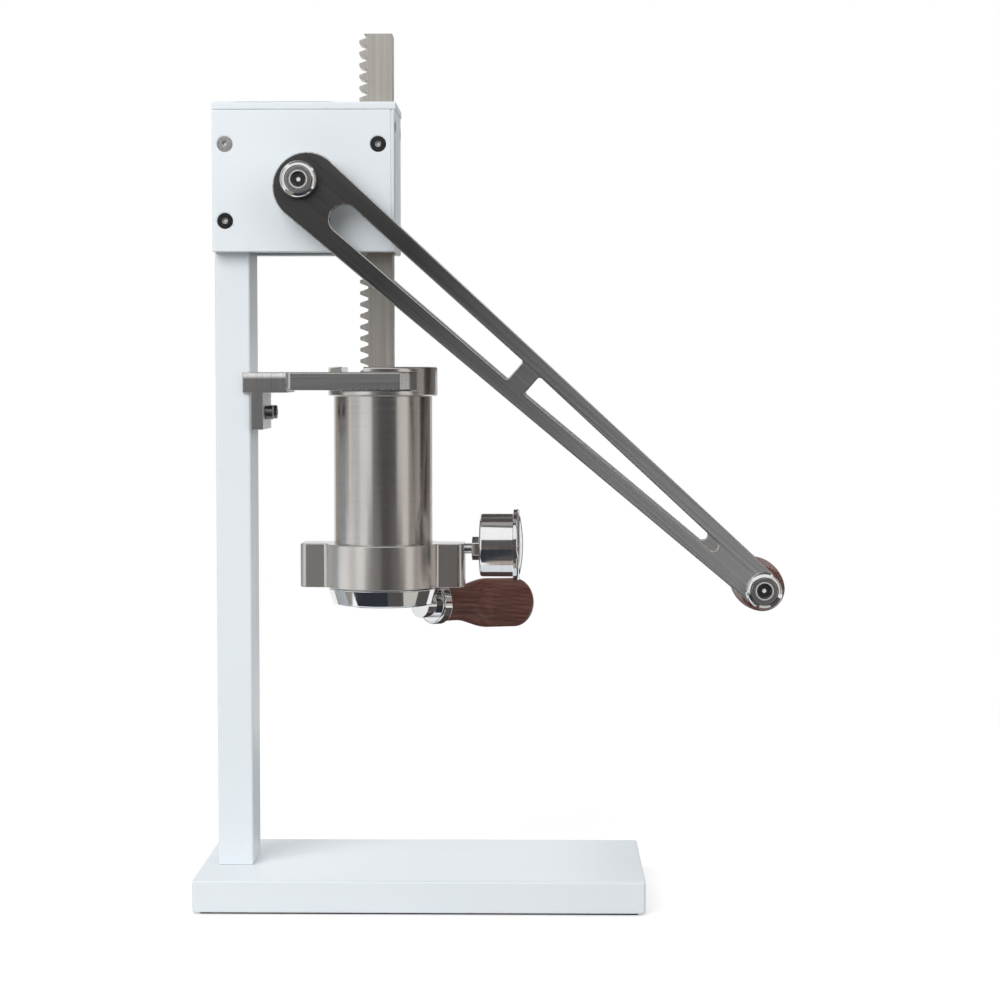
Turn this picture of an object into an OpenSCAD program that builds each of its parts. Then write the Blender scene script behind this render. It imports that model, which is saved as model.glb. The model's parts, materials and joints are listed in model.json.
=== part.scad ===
// Lever espresso machine: a post on a base carries a rack-and-pinion head, and the lever's pinion drives
// a toothed rack and its piston down a brewing cylinder that hangs from the post on a forked arm.
// Millimetres. Z is up, X runs from the post towards the gauge, and the origin is under the base's centre.
// Everything is drawn with the lever part-way down, in the pose that the joints count from.

/* [Base] */
// Length of the base plate
base_len = 277; // [262:1:300]
// Width of the base plate
base_wid = 130; // [124:1:160]
// Thickness of the base plate
base_thk = 20; // [16:0.5:26]
// Radius of the base plate's upright corners
base_corner = 2; // [1:0.5:6]
// Width of the chamfer round the base plate's top
base_chamfer = 1; // [0.5:0.1:2]
// Thickness of the rubber mat under the base
mat_thk = 1.5; // [1:0.1:3]
// How far the mat stays in from the base plate's edge
mat_inset = 4; // [3:0.5:10]

/* [Post] */
// Thickness of the post, along the base
post_thk = 22; // [18:0.5:26]
// Width of the post, across the base
post_wid = 40; // [36:0.5:46]
// Wall of the post's tube
post_wall = 3; // [2.5:0.1:4]
// Radius of the post's upright corners
post_corner = 1.5; // [0.5:0.25:2.5]
// From the back edge of the base plate to the post
post_setback = 10.5; // [6:0.5:20]
// Length of the plug in the foot of the post
plug_len = 30; // [24:1:50]

/* [Head] */
// From the top of the base plate to the underside of the head
head_rise = 383.5; // [375:0.5:395]
// Height of the head's side plates
head_hgt = 87; // [84:0.5:100]
// Thickness of the head's side plates
side_thk = 10; // [8:0.5:12]
// Thickness of the head's top plate
top_thk = 4.8; // [4:0.2:6]
// Thickness of the cover on the head's front
cover_thk = 2.6; // [2.5:0.1:4]
// How far the top plate stands past the front cover
top_over = 0.5; // [0.2:0.1:2]
// From the underside of the head up to the lever's pivot
pivot_rise = 42.5; // [40:0.5:46]
// Height of the rear pair of lower side screws above the head's underside
side_screw_low = 19; // [16:0.5:22]
// Height of the front pair of lower side screws above the head's underside
guide_screw_low = 20.5; // [19:0.5:22]
// Height of the upper row of side screws above the head's underside
side_screw_high = 66; // [62:0.5:70]
// From the back of the head to the rear pair of side screws
side_screw_back = 8; // [7:0.5:11]

/* [Rack and pinion] */
// Tooth size: pitch divided by pi
gear_module = 2.25; // [2.1:0.05:2.3]
// Teeth on the pinion
pinion_teeth = 32; // [30:1:32]
// Width of the pinion
pinion_wid = 16; // [12:0.5:17]
// Play between the teeth, along the pitch line
backlash = 0.5; // [0.3:0.05:0.6]
// Width of the rack
rack_wid = 18; // [17.5:0.5:20]
// Depth of the rack from its back to the root of its teeth
rack_body = 15.5; // [15:0.5:17]
// From the cylinder's axis to the back of the rack
rack_back = 7; // [6.5:0.25:8]
// Length of the rack
rack_len = 241; // [230:1:245]
// Height of rack that shows above the head
rack_show = 44.2; // [42:0.2:50]
// Diameter of the pinion's shaft
shaft_dia = 20; // [18:0.5:22]
// Wall of the bushes that the shaft turns in
bush_wall = 3; // [2:0.25:4]
// Width across the square ends of the shaft
square_wid = 14; // [13:0.25:14]
// Side of the key that holds the pinion on its shaft
key_wid = 6; // [5:0.5:6.5]

/* [Lever] */
// From the lever's pivot to the middle of its grip
lever_len = 377; // [370:1:400]
// Slope of the lever below level, as drawn
lever_slope = 41.4; // [35:0.1:45]
// How much further the lever presses down from there, in degrees
lever_press = 18; // [12:1:20]
// Thickness of each lever plate
lever_thk = 6; // [5:0.5:7]
// Clear width between the two lever plates
lever_gap = 88; // [82:1:96]
// Radius of the lever's broad end
lever_big_r = 21.2; // [20:0.1:23]
// From the pivot to the centre of the broad end's curve
lever_big_off = 6.4; // [4:0.1:8]
// Radius of the lever's narrow end
lever_small_r = 11.4; // [11.4:0.1:13]
// Width of metal left beside the lever's long slots
lever_rail = 9.3; // [8.5:0.1:9.5]
// Width of metal left beside the first slot's round end
slot_rail = 11.6; // [9.5:0.1:12]
// From the pivot to the centre of the first slot's round end
slot_start = 36; // [35:0.5:45]
// From the pivot to the square end of the first slot
slot_mid = 174.8; // [160:1:185]
// Width of the bridge between the two slots
slot_web = 13.4; // [8:0.2:20]
// From the middle of the grip back to the centre of the second slot's round end
slot_tail = 41; // [39:0.5:55]
// Corner radius at the square ends of the slots
slot_corner = 2; // [1:0.25:3]
// Diameter of the round caps on the lever's bolts
cap_dia = 22.8; // [22:0.1:23]
// Thickness of those caps
cap_thk = 7; // [6.5:0.5:9]
// Diameter of the grip at its middle
grip_dia = 31; // [28:0.5:36]
// Diameter of the grip at its ends
grip_end_dia = 27; // [25:0.5:28]
// Diameter of the tie tube inside the grip
tie_dia = 16; // [15:0.5:18]

/* [Arm and clamp] */
// From the top of the base plate to the underside of the forked arm
arm_rise = 298.3; // [290:0.1:302]
// Thickness of the forked arm
arm_thk = 11.2; // [10.5:0.1:13]
// Width over the two tines of the fork
arm_wid = 72; // [70:0.5:78]
// From the back of the post to the back of the arm
arm_back = 45; // [42:0.5:46]
// How far the tines run past the cylinder's axis
tine_reach = 19; // [14:0.5:21]
// Width of the chamfers at the tines' tips
tip_chamfer = 6; // [3:0.5:8]
// Height of the clamp's upper bar
clamp_bar_hgt = 12.8; // [11:0.2:15]
// Height of the leg below the bar
clamp_leg_hgt = 23; // [20:0.5:28]
// Thickness of the leg
clamp_leg_thk = 8; // [7:0.5:10]
// How far the bar hooks round the post
clamp_hook = 5; // [3:0.5:8]
// Thickness of the hooks beside the post
clamp_cheek = 2.5; // [2:0.25:4]
// From the middle to each of the paired screws in the clamp and the arm
pair_half = 12; // [11:0.5:13]

/* [Cylinder] */
// From the back of the post to the cylinder's axis
cyl_reach = 103; // [102:0.25:104]
// Outer diameter of the cylinder tube
tube_dia = 62; // [61:0.25:63]
// Wall of the cylinder tube
tube_wall = 3; // [2.5:0.1:3.5]
// Height of tube that shows between the flange and the collar
tube_show = 92.5; // [90:0.5:96]
// Diameter of the collar at the tube's top
collar_dia = 68.7; // [67.5:0.1:70]
// Thickness of the collar above the tines
collar_rim = 3.3; // [2.5:0.1:4]
// Thickness of the collar below the tines
collar_lip = 3.5; // [2.5:0.1:4.5]
// Width of the collar between its two grooves
collar_neck = 48; // [44:0.5:50]
// How far the grooves run past the cylinder's axis
groove_reach = 23; // [22:0.5:25]
// Width of the water slot across the collar's top
fill_wid = 14; // [10:0.5:15]
// From the cylinder's axis back to the middle of the water slot
fill_off = 17; // [16.5:0.25:18]
// Length of the water slot where it opens into the tube
fill_len = 28; // [20:0.5:30]
// Height of the piston
piston_hgt = 25; // [22:0.5:26]
// Thickness of the piston's two rubber rings
seal_thk = 3.2; // [2.8:0.1:3.6]
// Diameter of the rod between rack and piston
rod_dia = 12; // [11:0.5:13]

/* [Group flange] */
// Height of the flange
flange_hgt = 27.5; // [26.5:0.25:30]
// Diameter of the flange's round body
flange_dia = 73; // [72.5:0.25:76]
// Span over the flange's two ears
ear_span = 103.2; // [99:0.2:107]
// Width of each ear
ear_wid = 24; // [20:0.5:28]
// Radius of the hollow between an ear and the round body
ear_fillet = 4; // [2:0.25:6]
// Radius of the ears' outer corners
ear_corner = 4.4; // [2:0.2:6]
// Turn of the flange and gauge about the cylinder's axis
group_turn = -1; // [-5:0.5:5]
// How deep the tube seats in the flange
tube_sink = 7.5; // [6:0.25:8.5]
// Thickness of the shelf under the tube
shelf_thk = 5; // [4.5:0.25:5.5]
// Thickness of the rubber gasket under the shelf
gasket_thk = 4.5; // [4:0.25:5]
// Thickness of the lip that the bayonet lugs hook over
lip_thk = 3.5; // [3:0.1:3.8]
// Thickness of the perforated shower screen
screen_thk = 1.2; // [0.8:0.1:1.6]

/* [Pressure gauge] */
// From the flange's top down to the axis of the gauge's fitting
gauge_drop = 3.6; // [3.6:0.1:6]
// From the flange's ear to the back of the gauge case
gauge_gap = 9.5; // [8.5:0.1:14]
// How far the gauge case sits above its fitting
dial_lift = 2.3; // [0:0.1:3]
// Diameter of the gauge case
case_dia = 40; // [38:0.5:42]
// Length of gauge case that shows behind the bezel
case_len = 21.2; // [18:0.2:24]
// Wall of the gauge case
case_wall = 1.2; // [1:0.1:2]
// Diameter of the bezel
bezel_dia = 45.6; // [45:0.2:50]
// Length of the bezel
bezel_len = 3.8; // [3.6:0.1:5]
// Width of the bezel's lip over the glass
bezel_lip = 1.5; // [1:0.1:2.5]
// Thickness of the gauge glass
glass_thk = 1.4; // [1:0.1:1.8]
// How far the glass bulges past the bezel
dome_hgt = 2.3; // [1:0.1:4]
// Length of the pointer from its pivot
needle_len = 14.5; // [12:0.5:15.5]

/* [Portafilter] */
// Diameter of the portafilter's ring
ring_dia = 70; // [69:0.25:72]
// Height of ring that shows below the flange
ring_hgt = 11; // [9:0.25:14]
// Bore of the ring
ring_bore = 56; // [55:0.25:56.5]
// How much smaller the ring's radius is at its underside
ring_taper = 3; // [1:0.25:4]
// Diameter over the bayonet lugs
lug_dia = 67.6; // [66:0.2:68]
// Width of each bayonet lug, in degrees
lug_arc = 24; // [18:1:30]
// Turn from locked to dropping out, in degrees
lock_turn = 45; // [40:1:55]
// Direction of the handle when locked, from the X axis
handle_turn = 43; // [38:0.5:48]
// Drop of the handle away from the ring, in degrees
handle_drop = 3; // [2:0.5:5]
// From the ring's underside down to the handle's axis, at the ring's wall
neck_drop = 2.3; // [1:0.1:3]
// Diameter of the metal neck
neck_dia = 18; // [16:0.2:19]
// Length of the neck from the ring's wall
neck_len = 4.5; // [4:0.1:8]
// Diameter of the ferrule between neck and handle
ferrule_dia = 26.6; // [24:0.2:26.8]
// Length of the ferrule
ferrule_len = 8; // [6:0.25:10]
// Length of the wooden handle
handle_len = 72; // [66:1:80]
// Diameter of the wooden handle at its waist
waist_dia = 22.4; // [21:0.2:24]
// Diameter of the wooden handle at its fullest
bulge_dia = 32.2; // [30:0.2:33]
// Depth of the filter basket
basket_hgt = 19; // [15:0.25:20]

/* [Clearances] */
// Gap round a shaft that turns in its bush
run_fit = 0.05; // [0.02:0.01:0.09]
// Gap between faces that move past each other
slide_gap = 0.3; // [0.25:0.01:0.4]
// Gap round a fixed round piece in its hole
seat_fit = 0.05; // [0.03:0.01:0.08]
// Gap round a screw in its hole
screw_fit = 0.1; // [0.05:0.01:0.2]

/* [Hidden] */
$fn = 96;

// Screws: shank diameter, head diameter, head height, width across the flats of the hex socket
M4 = [4, 8, 2.3, 2.5];
M5 = [5, 10, 2.8, 3];
M5_CAP = [5, 8.5, 5, 4];
M6 = [6, 12, 3.3, 4];
M8 = [8, 16, 4.4, 5];
M10_LOW = [10, 16, 4.6, 8];
socket_share = 0.6;
cut = 0.5;
// Where a straight edge runs into an arc, it stops this far inside it, so that the two cross cleanly
edge_ease = 0.05;

// Colours
PAINT = "#e9eef2";
STEEL = "#8d8b88";
DARK_STEEL = "#6f7072";
CHROME = "#c9ced2";
RUBBER = "#26272a";
BRONZE = "#a98a55";
WALNUT = "#5f3a2e";

// Heights
base_z1 = mat_thk + base_thk;
head_z0 = base_z1 + head_rise;
head_z1 = head_z0 + head_hgt;
pivot_z = head_z0 + pivot_rise;
arm_z0 = base_z1 + arm_rise;
arm_z1 = arm_z0 + arm_thk;
collar_z0 = arm_z0 - slide_gap - collar_lip;
collar_z1 = arm_z1 + collar_rim;
flange_z1 = collar_z0 - tube_show;
flange_z0 = flange_z1 - flange_hgt;
shelf_z1 = flange_z1 - tube_sink;
shelf_z0 = shelf_z1 - shelf_thk;
tube_seat = 1.5;
tube_z1 = collar_z0 + tube_seat;
gasket_z0 = shelf_z0 - gasket_thk;
gauge_z = flange_z1 - gauge_drop;

// Places along the machine
post_x0 = -base_len / 2 + post_setback;
post_x1 = post_x0 + post_thk;
cyl_x = post_x0 + cyl_reach;
arm_x0 = post_x0 + arm_back;
rack_back_x = cyl_x + rack_back;
rack_root_x = rack_back_x - rack_body;
pitch_x = rack_root_x - 1.25 * gear_module;
rack_tip_x = pitch_x - gear_module;
pinion_r = gear_module * pinion_teeth / 2;
pinion_tip_r = pinion_r + gear_module;
pivot_x = pitch_x - pinion_r;
cover_x0 = rack_back_x + slide_gap;
cover_x1 = cover_x0 + cover_thk;
guide_mid_x = (rack_root_x + cover_x0) / 2;

// Places across the machine
head_half = post_wid / 2 + side_thk;
lever_in = lever_gap / 2;
lever_out = lever_in + lever_thk;
side_mid_y = post_wid / 2 + side_thk / 2;

// Round sizes
tube_r = tube_dia / 2;
bore_r = tube_r - tube_wall;
collar_r = collar_dia / 2;
flange_r = flange_dia / 2;
bush_r = shaft_dia / 2 + run_fit + bush_wall;
ring_r = ring_dia / 2;
bore_half = ring_bore / 2;
rim_wall = 2.2;
rim_r = bore_half + rim_wall;
lug_r = lug_dia / 2;
bayonet_gap = 0.4;
channel_hgt = 5.5;
channel_top = flange_z0 + lip_thk + channel_hgt;

// The rack and pinion mesh at rest, with a space of the rack at the pivot's height
tooth_pitch = PI * gear_module;
pressure_angle = 20;
rack_z1 = head_z1 + top_thk + rack_show;
rack_z0 = rack_z1 - rack_len;
press_drop = pinion_r * lever_press * PI / 180;
piston_stop = 0.7;
piston_z0 = shelf_z1 + piston_stop + press_drop;
piston_z1 = piston_z0 + piston_hgt;

// The portafilter's stack under the gasket
basket_lip = 0.8;
basket_wall = 0.6;
ring_z1 = flange_z0 - slide_gap;
ring_z0 = ring_z1 - ring_hgt;
rim_z1 = gasket_z0 - slide_gap - basket_lip;
lug_z0 = flange_z0 + lip_thk + slide_gap;
lug_thk = 4;
basket_room = 0.6;
basket_r = bore_half - basket_room;
wood_l0 = neck_len + ferrule_len;
wood_l1 = wood_l0 + handle_len;
stud_dia = 8;
stud_l0 = (bore_half - ring_r) * 0.6;
stud_l1 = wood_l0 + handle_len * 0.45;

// The gauge's stack along its axis, from the cylinder's axis outwards
ear_end = ear_span / 2;
spigot_dia = 6;
spigot_len = 9;
nut_len = 5;
nut_wid = 13;
tail_dia = 8;
gauge_reach = ear_end + gauge_gap;
case_r = case_dia / 2;
case_front = gauge_reach + case_len;
bezel_front = case_front + bezel_len;
glass_x0 = case_front + slide_gap;
glass_x1 = glass_x0 + glass_thk;
dial_thk = 0.8;
dial_x0 = case_front - 2.4;
dial_r = case_r - case_wall - seat_fit;
ledge_r = dial_r - 1.4;
spindle_dia = 2.4;
needle_x0 = dial_x0 + dial_thk + slide_gap;

// Frames to draw in
module at_pivot() {
    translate([pivot_x, 0, pivot_z]) rotate([0, lever_slope, 0]) children();
}
module at_cylinder() {
    translate([cyl_x, 0, 0]) children();
}
module at_group() {
    at_cylinder() rotate([0, 0, group_turn]) children();
}
// The fitting's axis becomes the Z axis, with Y left level and the drawn +X pointing down
module at_fitting() {
    at_group() translate([0, 0, gauge_z]) rotate([0, 90, 0]) children();
}
module at_gauge() {
    translate([0, 0, dial_lift]) at_fitting() children();
}
module at_portafilter() {
    at_cylinder() rotate([0, 0, handle_turn]) children();
}
// The handle's axis becomes the Z axis, counted from the ring's wall
module at_handle() {
    at_portafilter() translate([ring_r, 0, ring_z0 - neck_drop])
        rotate([0, 90 + handle_drop, 0]) children();
}
// An outline in X and Z, made a plate of the given thickness between y0 and y0 + thk
module upright_plate(y0, thk) {
    translate([0, y0 + thk, 0]) rotate([90, 0, 0]) linear_extrude(thk) children();
}
module both_sides() {
    children();
    mirror([0, 1, 0]) children();
}

// Shapes that repeat
module rounded_rect(len, wid, r) {
    square([len - 2 * r, wid], center = true);
    square([len, wid - 2 * r], center = true);
    for (x = [-1, 1], y = [-1, 1]) translate([x * (len / 2 - r), y * (wid / 2 - r)]) circle(r);
}
module ring(r_out, r_in, h) {
    rotate_extrude() translate([r_in, 0]) square([r_out - r_in, h]);
}
module sector(r_in, r_out, z0, z1, mid, arc) {
    rotate([0, 0, mid - arc / 2]) rotate_extrude(angle = arc)
        translate([r_in, z0]) square([r_out - r_in, z1 - z0]);
}
// A countersunk screw with its head flush at Z = 0 and its shank below
module csk_form(size, len, grow) {
    rise = (size[1] - size[0]) / 2;
    rotate_extrude() polygon([
        [0, -len], [size[0] / 2 + grow, -len], [size[0] / 2 + grow, -rise - grow],
        [size[1] / 2 + grow, 0], [0, 0]
    ]);
}
module csk_screw(size, len) {
    difference() {
        csk_form(size, len, 0);
        translate([0, 0, -size[2] * socket_share]) hex_socket(size);
    }
}
module csk_hole(size, len) {
    csk_form(size, len + screw_fit, screw_fit);
    cylinder(r = size[1] / 2 + screw_fit, h = cut);
}
// A cap screw whose head sits on Z = 0, with its shank below
module cap_screw(size, len) {
    difference() {
        union() {
            translate([0, 0, -len]) cylinder(d = size[0], h = len);
            cylinder(d = size[1], h = size[2]);
        }
        translate([0, 0, size[2] * (1 - socket_share)]) hex_socket(size);
    }
}
module hex_socket(size) {
    cylinder(d = size[3] / cos(30), h = size[2] + cut, $fn = 6);
}
module screw_hole(size, len) {
    translate([0, 0, -len]) cylinder(r = size[0] / 2 + screw_fit, h = len + cut);
}

// Where the screws go: each module draws its children at every place of one kind, with Z out of the head
module at_base_screws() {
    for (y = [-1, 1]) translate([(post_x0 + post_x1) / 2, y * post_wid / 4, mat_thk])
        rotate([180, 0, 0]) children();
}
module at_side_screws(sides) {
    rear_x = post_x0 + side_screw_back;
    for (side = sides, at = [[rear_x, side_screw_low], [guide_mid_x, guide_screw_low],
                             [rear_x, side_screw_high], [guide_mid_x, side_screw_high]])
        translate([at[0], side * head_half, head_z0 + at[1]]) rotate([-side * 90, 0, 0]) children();
}
module at_top_screws() {
    for (x = [post_x0 + post_thk, pivot_x + pinion_r / 2], y = [-1, 1])
        translate([x, y * side_mid_y, head_z1 + top_thk]) children();
}
module at_cover_screws() {
    for (y = [-1, 1], z = [head_z0 + cover_screw_in, head_z1 - cover_screw_in])
        translate([cover_x1, y * side_mid_y, z]) rotate([0, 90, 0]) children();
}
module at_clamp_screws() {
    for (y = [-1, 1]) translate([post_x1 + clamp_leg_thk, y * pair_half, clamp_screw_z])
        rotate([0, 90, 0]) children();
}
module at_arm_screws() {
    for (y = [-1, 1]) translate([arm_head_x, y * pair_half, (arm_z0 + arm_z1) / 2])
        rotate([0, 90, 0]) children();
}
clamp_z1 = arm_z1;
clamp_bar_z0 = clamp_z1 - clamp_bar_hgt;
clamp_leg_z0 = clamp_bar_z0 - clamp_leg_hgt;
clamp_screw_z = clamp_leg_z0 + clamp_leg_hgt * 0.46;
fork_r = collar_r + slide_gap;
arm_cap_seat = 4;
arm_head_x = cyl_x - fork_r - arm_cap_seat;
base_screw_len = base_thk + plug_len * 0.6;
screw_bite = 7;
side_screw_len = side_thk + screw_bite;
cover_screw_len = 12;
cover_screw_in = 10;
clamp_screw_len = clamp_leg_thk + screw_bite;
arm_screw_bite = 12;
arm_screw_len = arm_head_x - arm_x0 + arm_screw_bite;

// Base and post
module base_plate() {
    inset = base_chamfer;
    color(PAINT) difference() {
        translate([0, 0, mat_thk]) linear_extrude(base_thk) rounded_rect(base_len, base_wid, base_corner);
        for (side = [-1, 1]) {
            translate([side * base_len / 2, 0, base_z1]) rotate([0, 45, 0])
                cube([inset * sqrt(2), base_wid + 2, inset * sqrt(2)], center = true);
            translate([0, side * base_wid / 2, base_z1]) rotate([45, 0, 0])
                cube([base_len + 2, inset * sqrt(2), inset * sqrt(2)], center = true);
        }
        at_base_screws() csk_hole(M8, base_screw_len);
    }
}
module base_mat() {
    color(RUBBER) linear_extrude(mat_thk)
        rounded_rect(base_len - 2 * mat_inset, base_wid - 2 * mat_inset, base_corner);
}
module base_screws() {
    color(DARK_STEEL) at_base_screws() csk_screw(M8, base_screw_len);
}
module post() {
    pinion_room = 1.5;
    window_r = pinion_tip_r + pinion_room;
    reach = pivot_x - post_x1;
    window_half = window_r > reach ? sqrt(window_r * window_r - reach * reach) + 1 : 0;
    color(PAINT) difference() {
        translate([(post_x0 + post_x1) / 2, 0, base_z1]) linear_extrude(head_z1 - base_z1)
            rounded_rect(post_thk, post_wid, post_corner);
        translate([post_x0 + post_wall, post_wall - post_wid / 2, base_z1 - cut])
            cube([post_thk - 2 * post_wall, post_wid - 2 * post_wall, head_z1 - base_z1 + 2 * cut]);
        if (window_half > 0)
            translate([post_x1 - post_wall - cut, -pinion_wid / 2 - pinion_room, pivot_z - window_half])
                cube([post_wall + 2 * cut, pinion_wid + 2 * pinion_room, 2 * window_half]);
        at_side_screws([-1, 1]) screw_hole(M5, side_screw_len + cut);
        at_clamp_screws() screw_hole(M5_CAP, clamp_screw_len + cut);
    }
}
module post_foot_plug() {
    color(STEEL) difference() {
        translate([post_x0 + post_wall, post_wall - post_wid / 2, base_z1])
            cube([post_thk - 2 * post_wall, post_wid - 2 * post_wall, plug_len]);
        at_base_screws() screw_hole(M8, base_screw_len + cut);
    }
}

// Head
module head_side(side) {
    y0 = side > 0 ? post_wid / 2 : -head_half;
    color(PAINT) difference() {
        translate([post_x0, y0, head_z0]) cube([cover_x0 - post_x0, side_thk, head_hgt]);
        translate([pivot_x, y0 - cut, pivot_z]) rotate([-90, 0, 0])
            cylinder(r = bush_r + seat_fit, h = side_thk + 2 * cut);
        at_side_screws([side]) csk_hole(M5, side_screw_len);
        at_top_screws() screw_hole(M4, cover_screw_len + screw_fit);
        at_cover_screws() screw_hole(M4, cover_screw_len + screw_fit);
    }
}
module head_side_front() { head_side(-1); }
module head_side_rear() { head_side(1); }
module head_top_plate() {
    room = 1.5;
    slot_x0 = rack_tip_x - room;
    slot_x1 = rack_back_x + room;
    color(PAINT) difference() {
        translate([post_x0, -head_half, head_z1])
            cube([cover_x1 + top_over - post_x0, 2 * head_half, top_thk]);
        translate([slot_x0, -rack_wid / 2 - room, head_z1 - cut])
            cube([slot_x1 - slot_x0, rack_wid + 2 * room, top_thk + 2 * cut]);
        at_top_screws() csk_hole(M4, cover_screw_len);
    }
}
module head_front_cover() {
    edge_r = cover_thk * 0.75;
    color(PAINT) difference() {
        translate([0, 0, head_z0]) linear_extrude(head_hgt) intersection() {
            translate([cover_x1 - cover_thk * 2, 0]) rounded_rect(cover_thk * 4, 2 * head_half, edge_r);
            translate([cover_x0, -head_half]) square([cover_thk, 2 * head_half]);
        }
        at_cover_screws() csk_hole(M4, cover_screw_len);
    }
}
module head_side_screws() {
    color(DARK_STEEL) at_side_screws([-1, 1]) csk_screw(M5, side_screw_len);
}
module head_cover_screws() {
    color(DARK_STEEL) {
        at_top_screws() csk_screw(M4, cover_screw_len);
        at_cover_screws() csk_screw(M4, cover_screw_len);
    }
}
module shaft_bushes() {
    color(BRONZE) both_sides() translate([pivot_x, post_wid / 2, pivot_z]) rotate([-90, 0, 0])
        ring(bush_r, shaft_dia / 2 + run_fit, side_thk);
}
module rack_guides() {
    inner = rack_wid / 2 + slide_gap;
    color(BRONZE) difference() {
        both_sides() translate([rack_root_x, inner, head_z0])
            cube([cover_x0 - rack_root_x, post_wid / 2 - inner, head_hgt]);
        at_side_screws([-1, 1]) screw_hole(M5, side_screw_len + cut);
    }
}

// Pinion and lever
function involute(angle) = tan(angle) * 180 / PI - angle;
function polar(r, angle) = [r * cos(angle), r * sin(angle)];
module pinion_outline() {
    base_r = pinion_r * cos(pressure_angle);
    root_r = pinion_r - 1.25 * gear_module;
    half = 90 / pinion_teeth - backlash / 4 / pinion_r * 180 / PI + involute(pressure_angle);
    steps = 4;
    flank = [for (i = [0 : steps]) base_r + (pinion_tip_r - base_r) * i / steps];
    function spread(r) = half - involute(acos(min(1, base_r / r)));
    polygon([for (tooth = [0 : pinion_teeth - 1]) let (mid = tooth * 360 / pinion_teeth) each concat(
        [polar(root_r, mid - spread(base_r))],
        [for (r = flank) polar(r, mid - spread(r))],
        [for (i = [steps : -1 : 0]) polar(flank[i], mid + spread(flank[i]))],
        [polar(root_r, mid + spread(base_r))]
    )]);
}
// The keyway is cut half in the shaft and half in the pinion, on the side away from the rack
module key_slot(grow) {
    translate([-shaft_dia / 2 - key_wid / 2 - grow, -pinion_wid / 2, -key_wid / 2 - grow])
        cube([key_wid + 2 * grow, pinion_wid, key_wid + 2 * grow]);
}
module pinion_gear() {
    color(STEEL) translate([pivot_x, 0, pivot_z]) difference() {
        upright_plate(-pinion_wid / 2, pinion_wid) difference() {
            pinion_outline();
            circle(shaft_dia / 2 + seat_fit);
        }
        key_slot(seat_fit);
    }
}
module pinion_key() {
    color(DARK_STEEL) translate([pivot_x, 0, pivot_z]) key_slot(0);
}
module pinion_shaft() {
    shaft_thread = 20;
    thread_depth = lever_thk + shaft_thread;
    color(STEEL) difference() {
        union() {
            translate([pivot_x, lever_in, pivot_z]) rotate([90, 0, 0]) cylinder(d = shaft_dia, h = lever_gap);
            at_pivot() cube([square_wid, 2 * (lever_out - slide_gap), square_wid], center = true);
        }
        translate([pivot_x, 0, pivot_z]) key_slot(seat_fit);
        at_pivot() both_sides() translate([0, lever_out, 0]) rotate([-90, 0, 0])
            screw_hole(M10_LOW, thread_depth);
    }
}
module lever_spacers() {
    color(CHROME) both_sides() translate([pivot_x, head_half + slide_gap, pivot_z]) rotate([-90, 0, 0])
        ring(bush_r, shaft_dia / 2 + seat_fit, lever_in - head_half - slide_gap);
}
// Half the lever's width at a distance along it, on the straight lines that touch both end curves
lever_lean = asin((lever_big_r - lever_small_r) / (lever_len - lever_big_off));
function lever_half(s) = (lever_big_r - (s - lever_big_off) * sin(lever_lean)) / cos(lever_lean);
slot_end = lever_len - slot_tail;
// Half the slots' width: beside the first slot the metal widens towards the pivot
function rail_at(s) = lever_rail
    + (slot_rail - lever_rail) * max(0, (slot_mid - s) / (slot_mid - slot_start));
function slot_half(s) = lever_half(s) - rail_at(s) / cos(lever_lean);
// A slot between two slanted edges, round at one end and square with eased corners at the other
module lever_slot(round_s, square_s) {
    taper = atan((slot_half(round_s) - slot_half(square_s)) / (square_s - round_s));
    lean = [sin(taper), cos(taper)];
    corner_s = square_s - sign(square_s - round_s) * slot_corner;
    corner = [corner_s, slot_half(corner_s) - slot_corner / cos(taper)];
    round_r = slot_half(round_s) * cos(taper);
    end_s = square_s - sign(square_s - round_s) * edge_ease;
    upper = [
        [round_s, 0] + (round_r - edge_ease) * lean, corner + (slot_corner - edge_ease) * lean,
        [end_s, corner[1]]
    ];
    mirrored = [for (i = [2 : -1 : 0]) [upper[i][0], -upper[i][1]]];
    polygon(square_s > round_s ? concat(mirrored, upper) : concat(upper, mirrored));
    translate([round_s, 0]) circle(round_r);
    for (side = [-1, 1]) translate([corner[0], side * corner[1]]) circle(slot_corner);
}
module lever_outline() {
    lean = [sin(lever_lean), cos(lever_lean)];
    big = [lever_big_off, 0] + (lever_big_r - edge_ease) * lean;
    small = [lever_len, 0] + (lever_small_r - edge_ease) * lean;
    difference() {
        union() {
            polygon([[big[0], -big[1]], [small[0], -small[1]], small, big]);
            translate([lever_big_off, 0]) circle(lever_big_r);
            translate([lever_len, 0]) circle(lever_small_r);
        }
        lever_slot(slot_start, slot_mid);
        lever_slot(slot_end, slot_mid + slot_web);
        square(square_wid + 2 * seat_fit, center = true);
        translate([lever_len, 0]) circle(M10_LOW[0] / 2 + screw_fit);
    }
}
module lever_plate_front() {
    color(DARK_STEEL) at_pivot() upright_plate(-lever_out, lever_thk) lever_outline();
}
module lever_plate_rear() {
    color(DARK_STEEL) at_pivot() upright_plate(lever_in, lever_thk) lever_outline();
}
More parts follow.
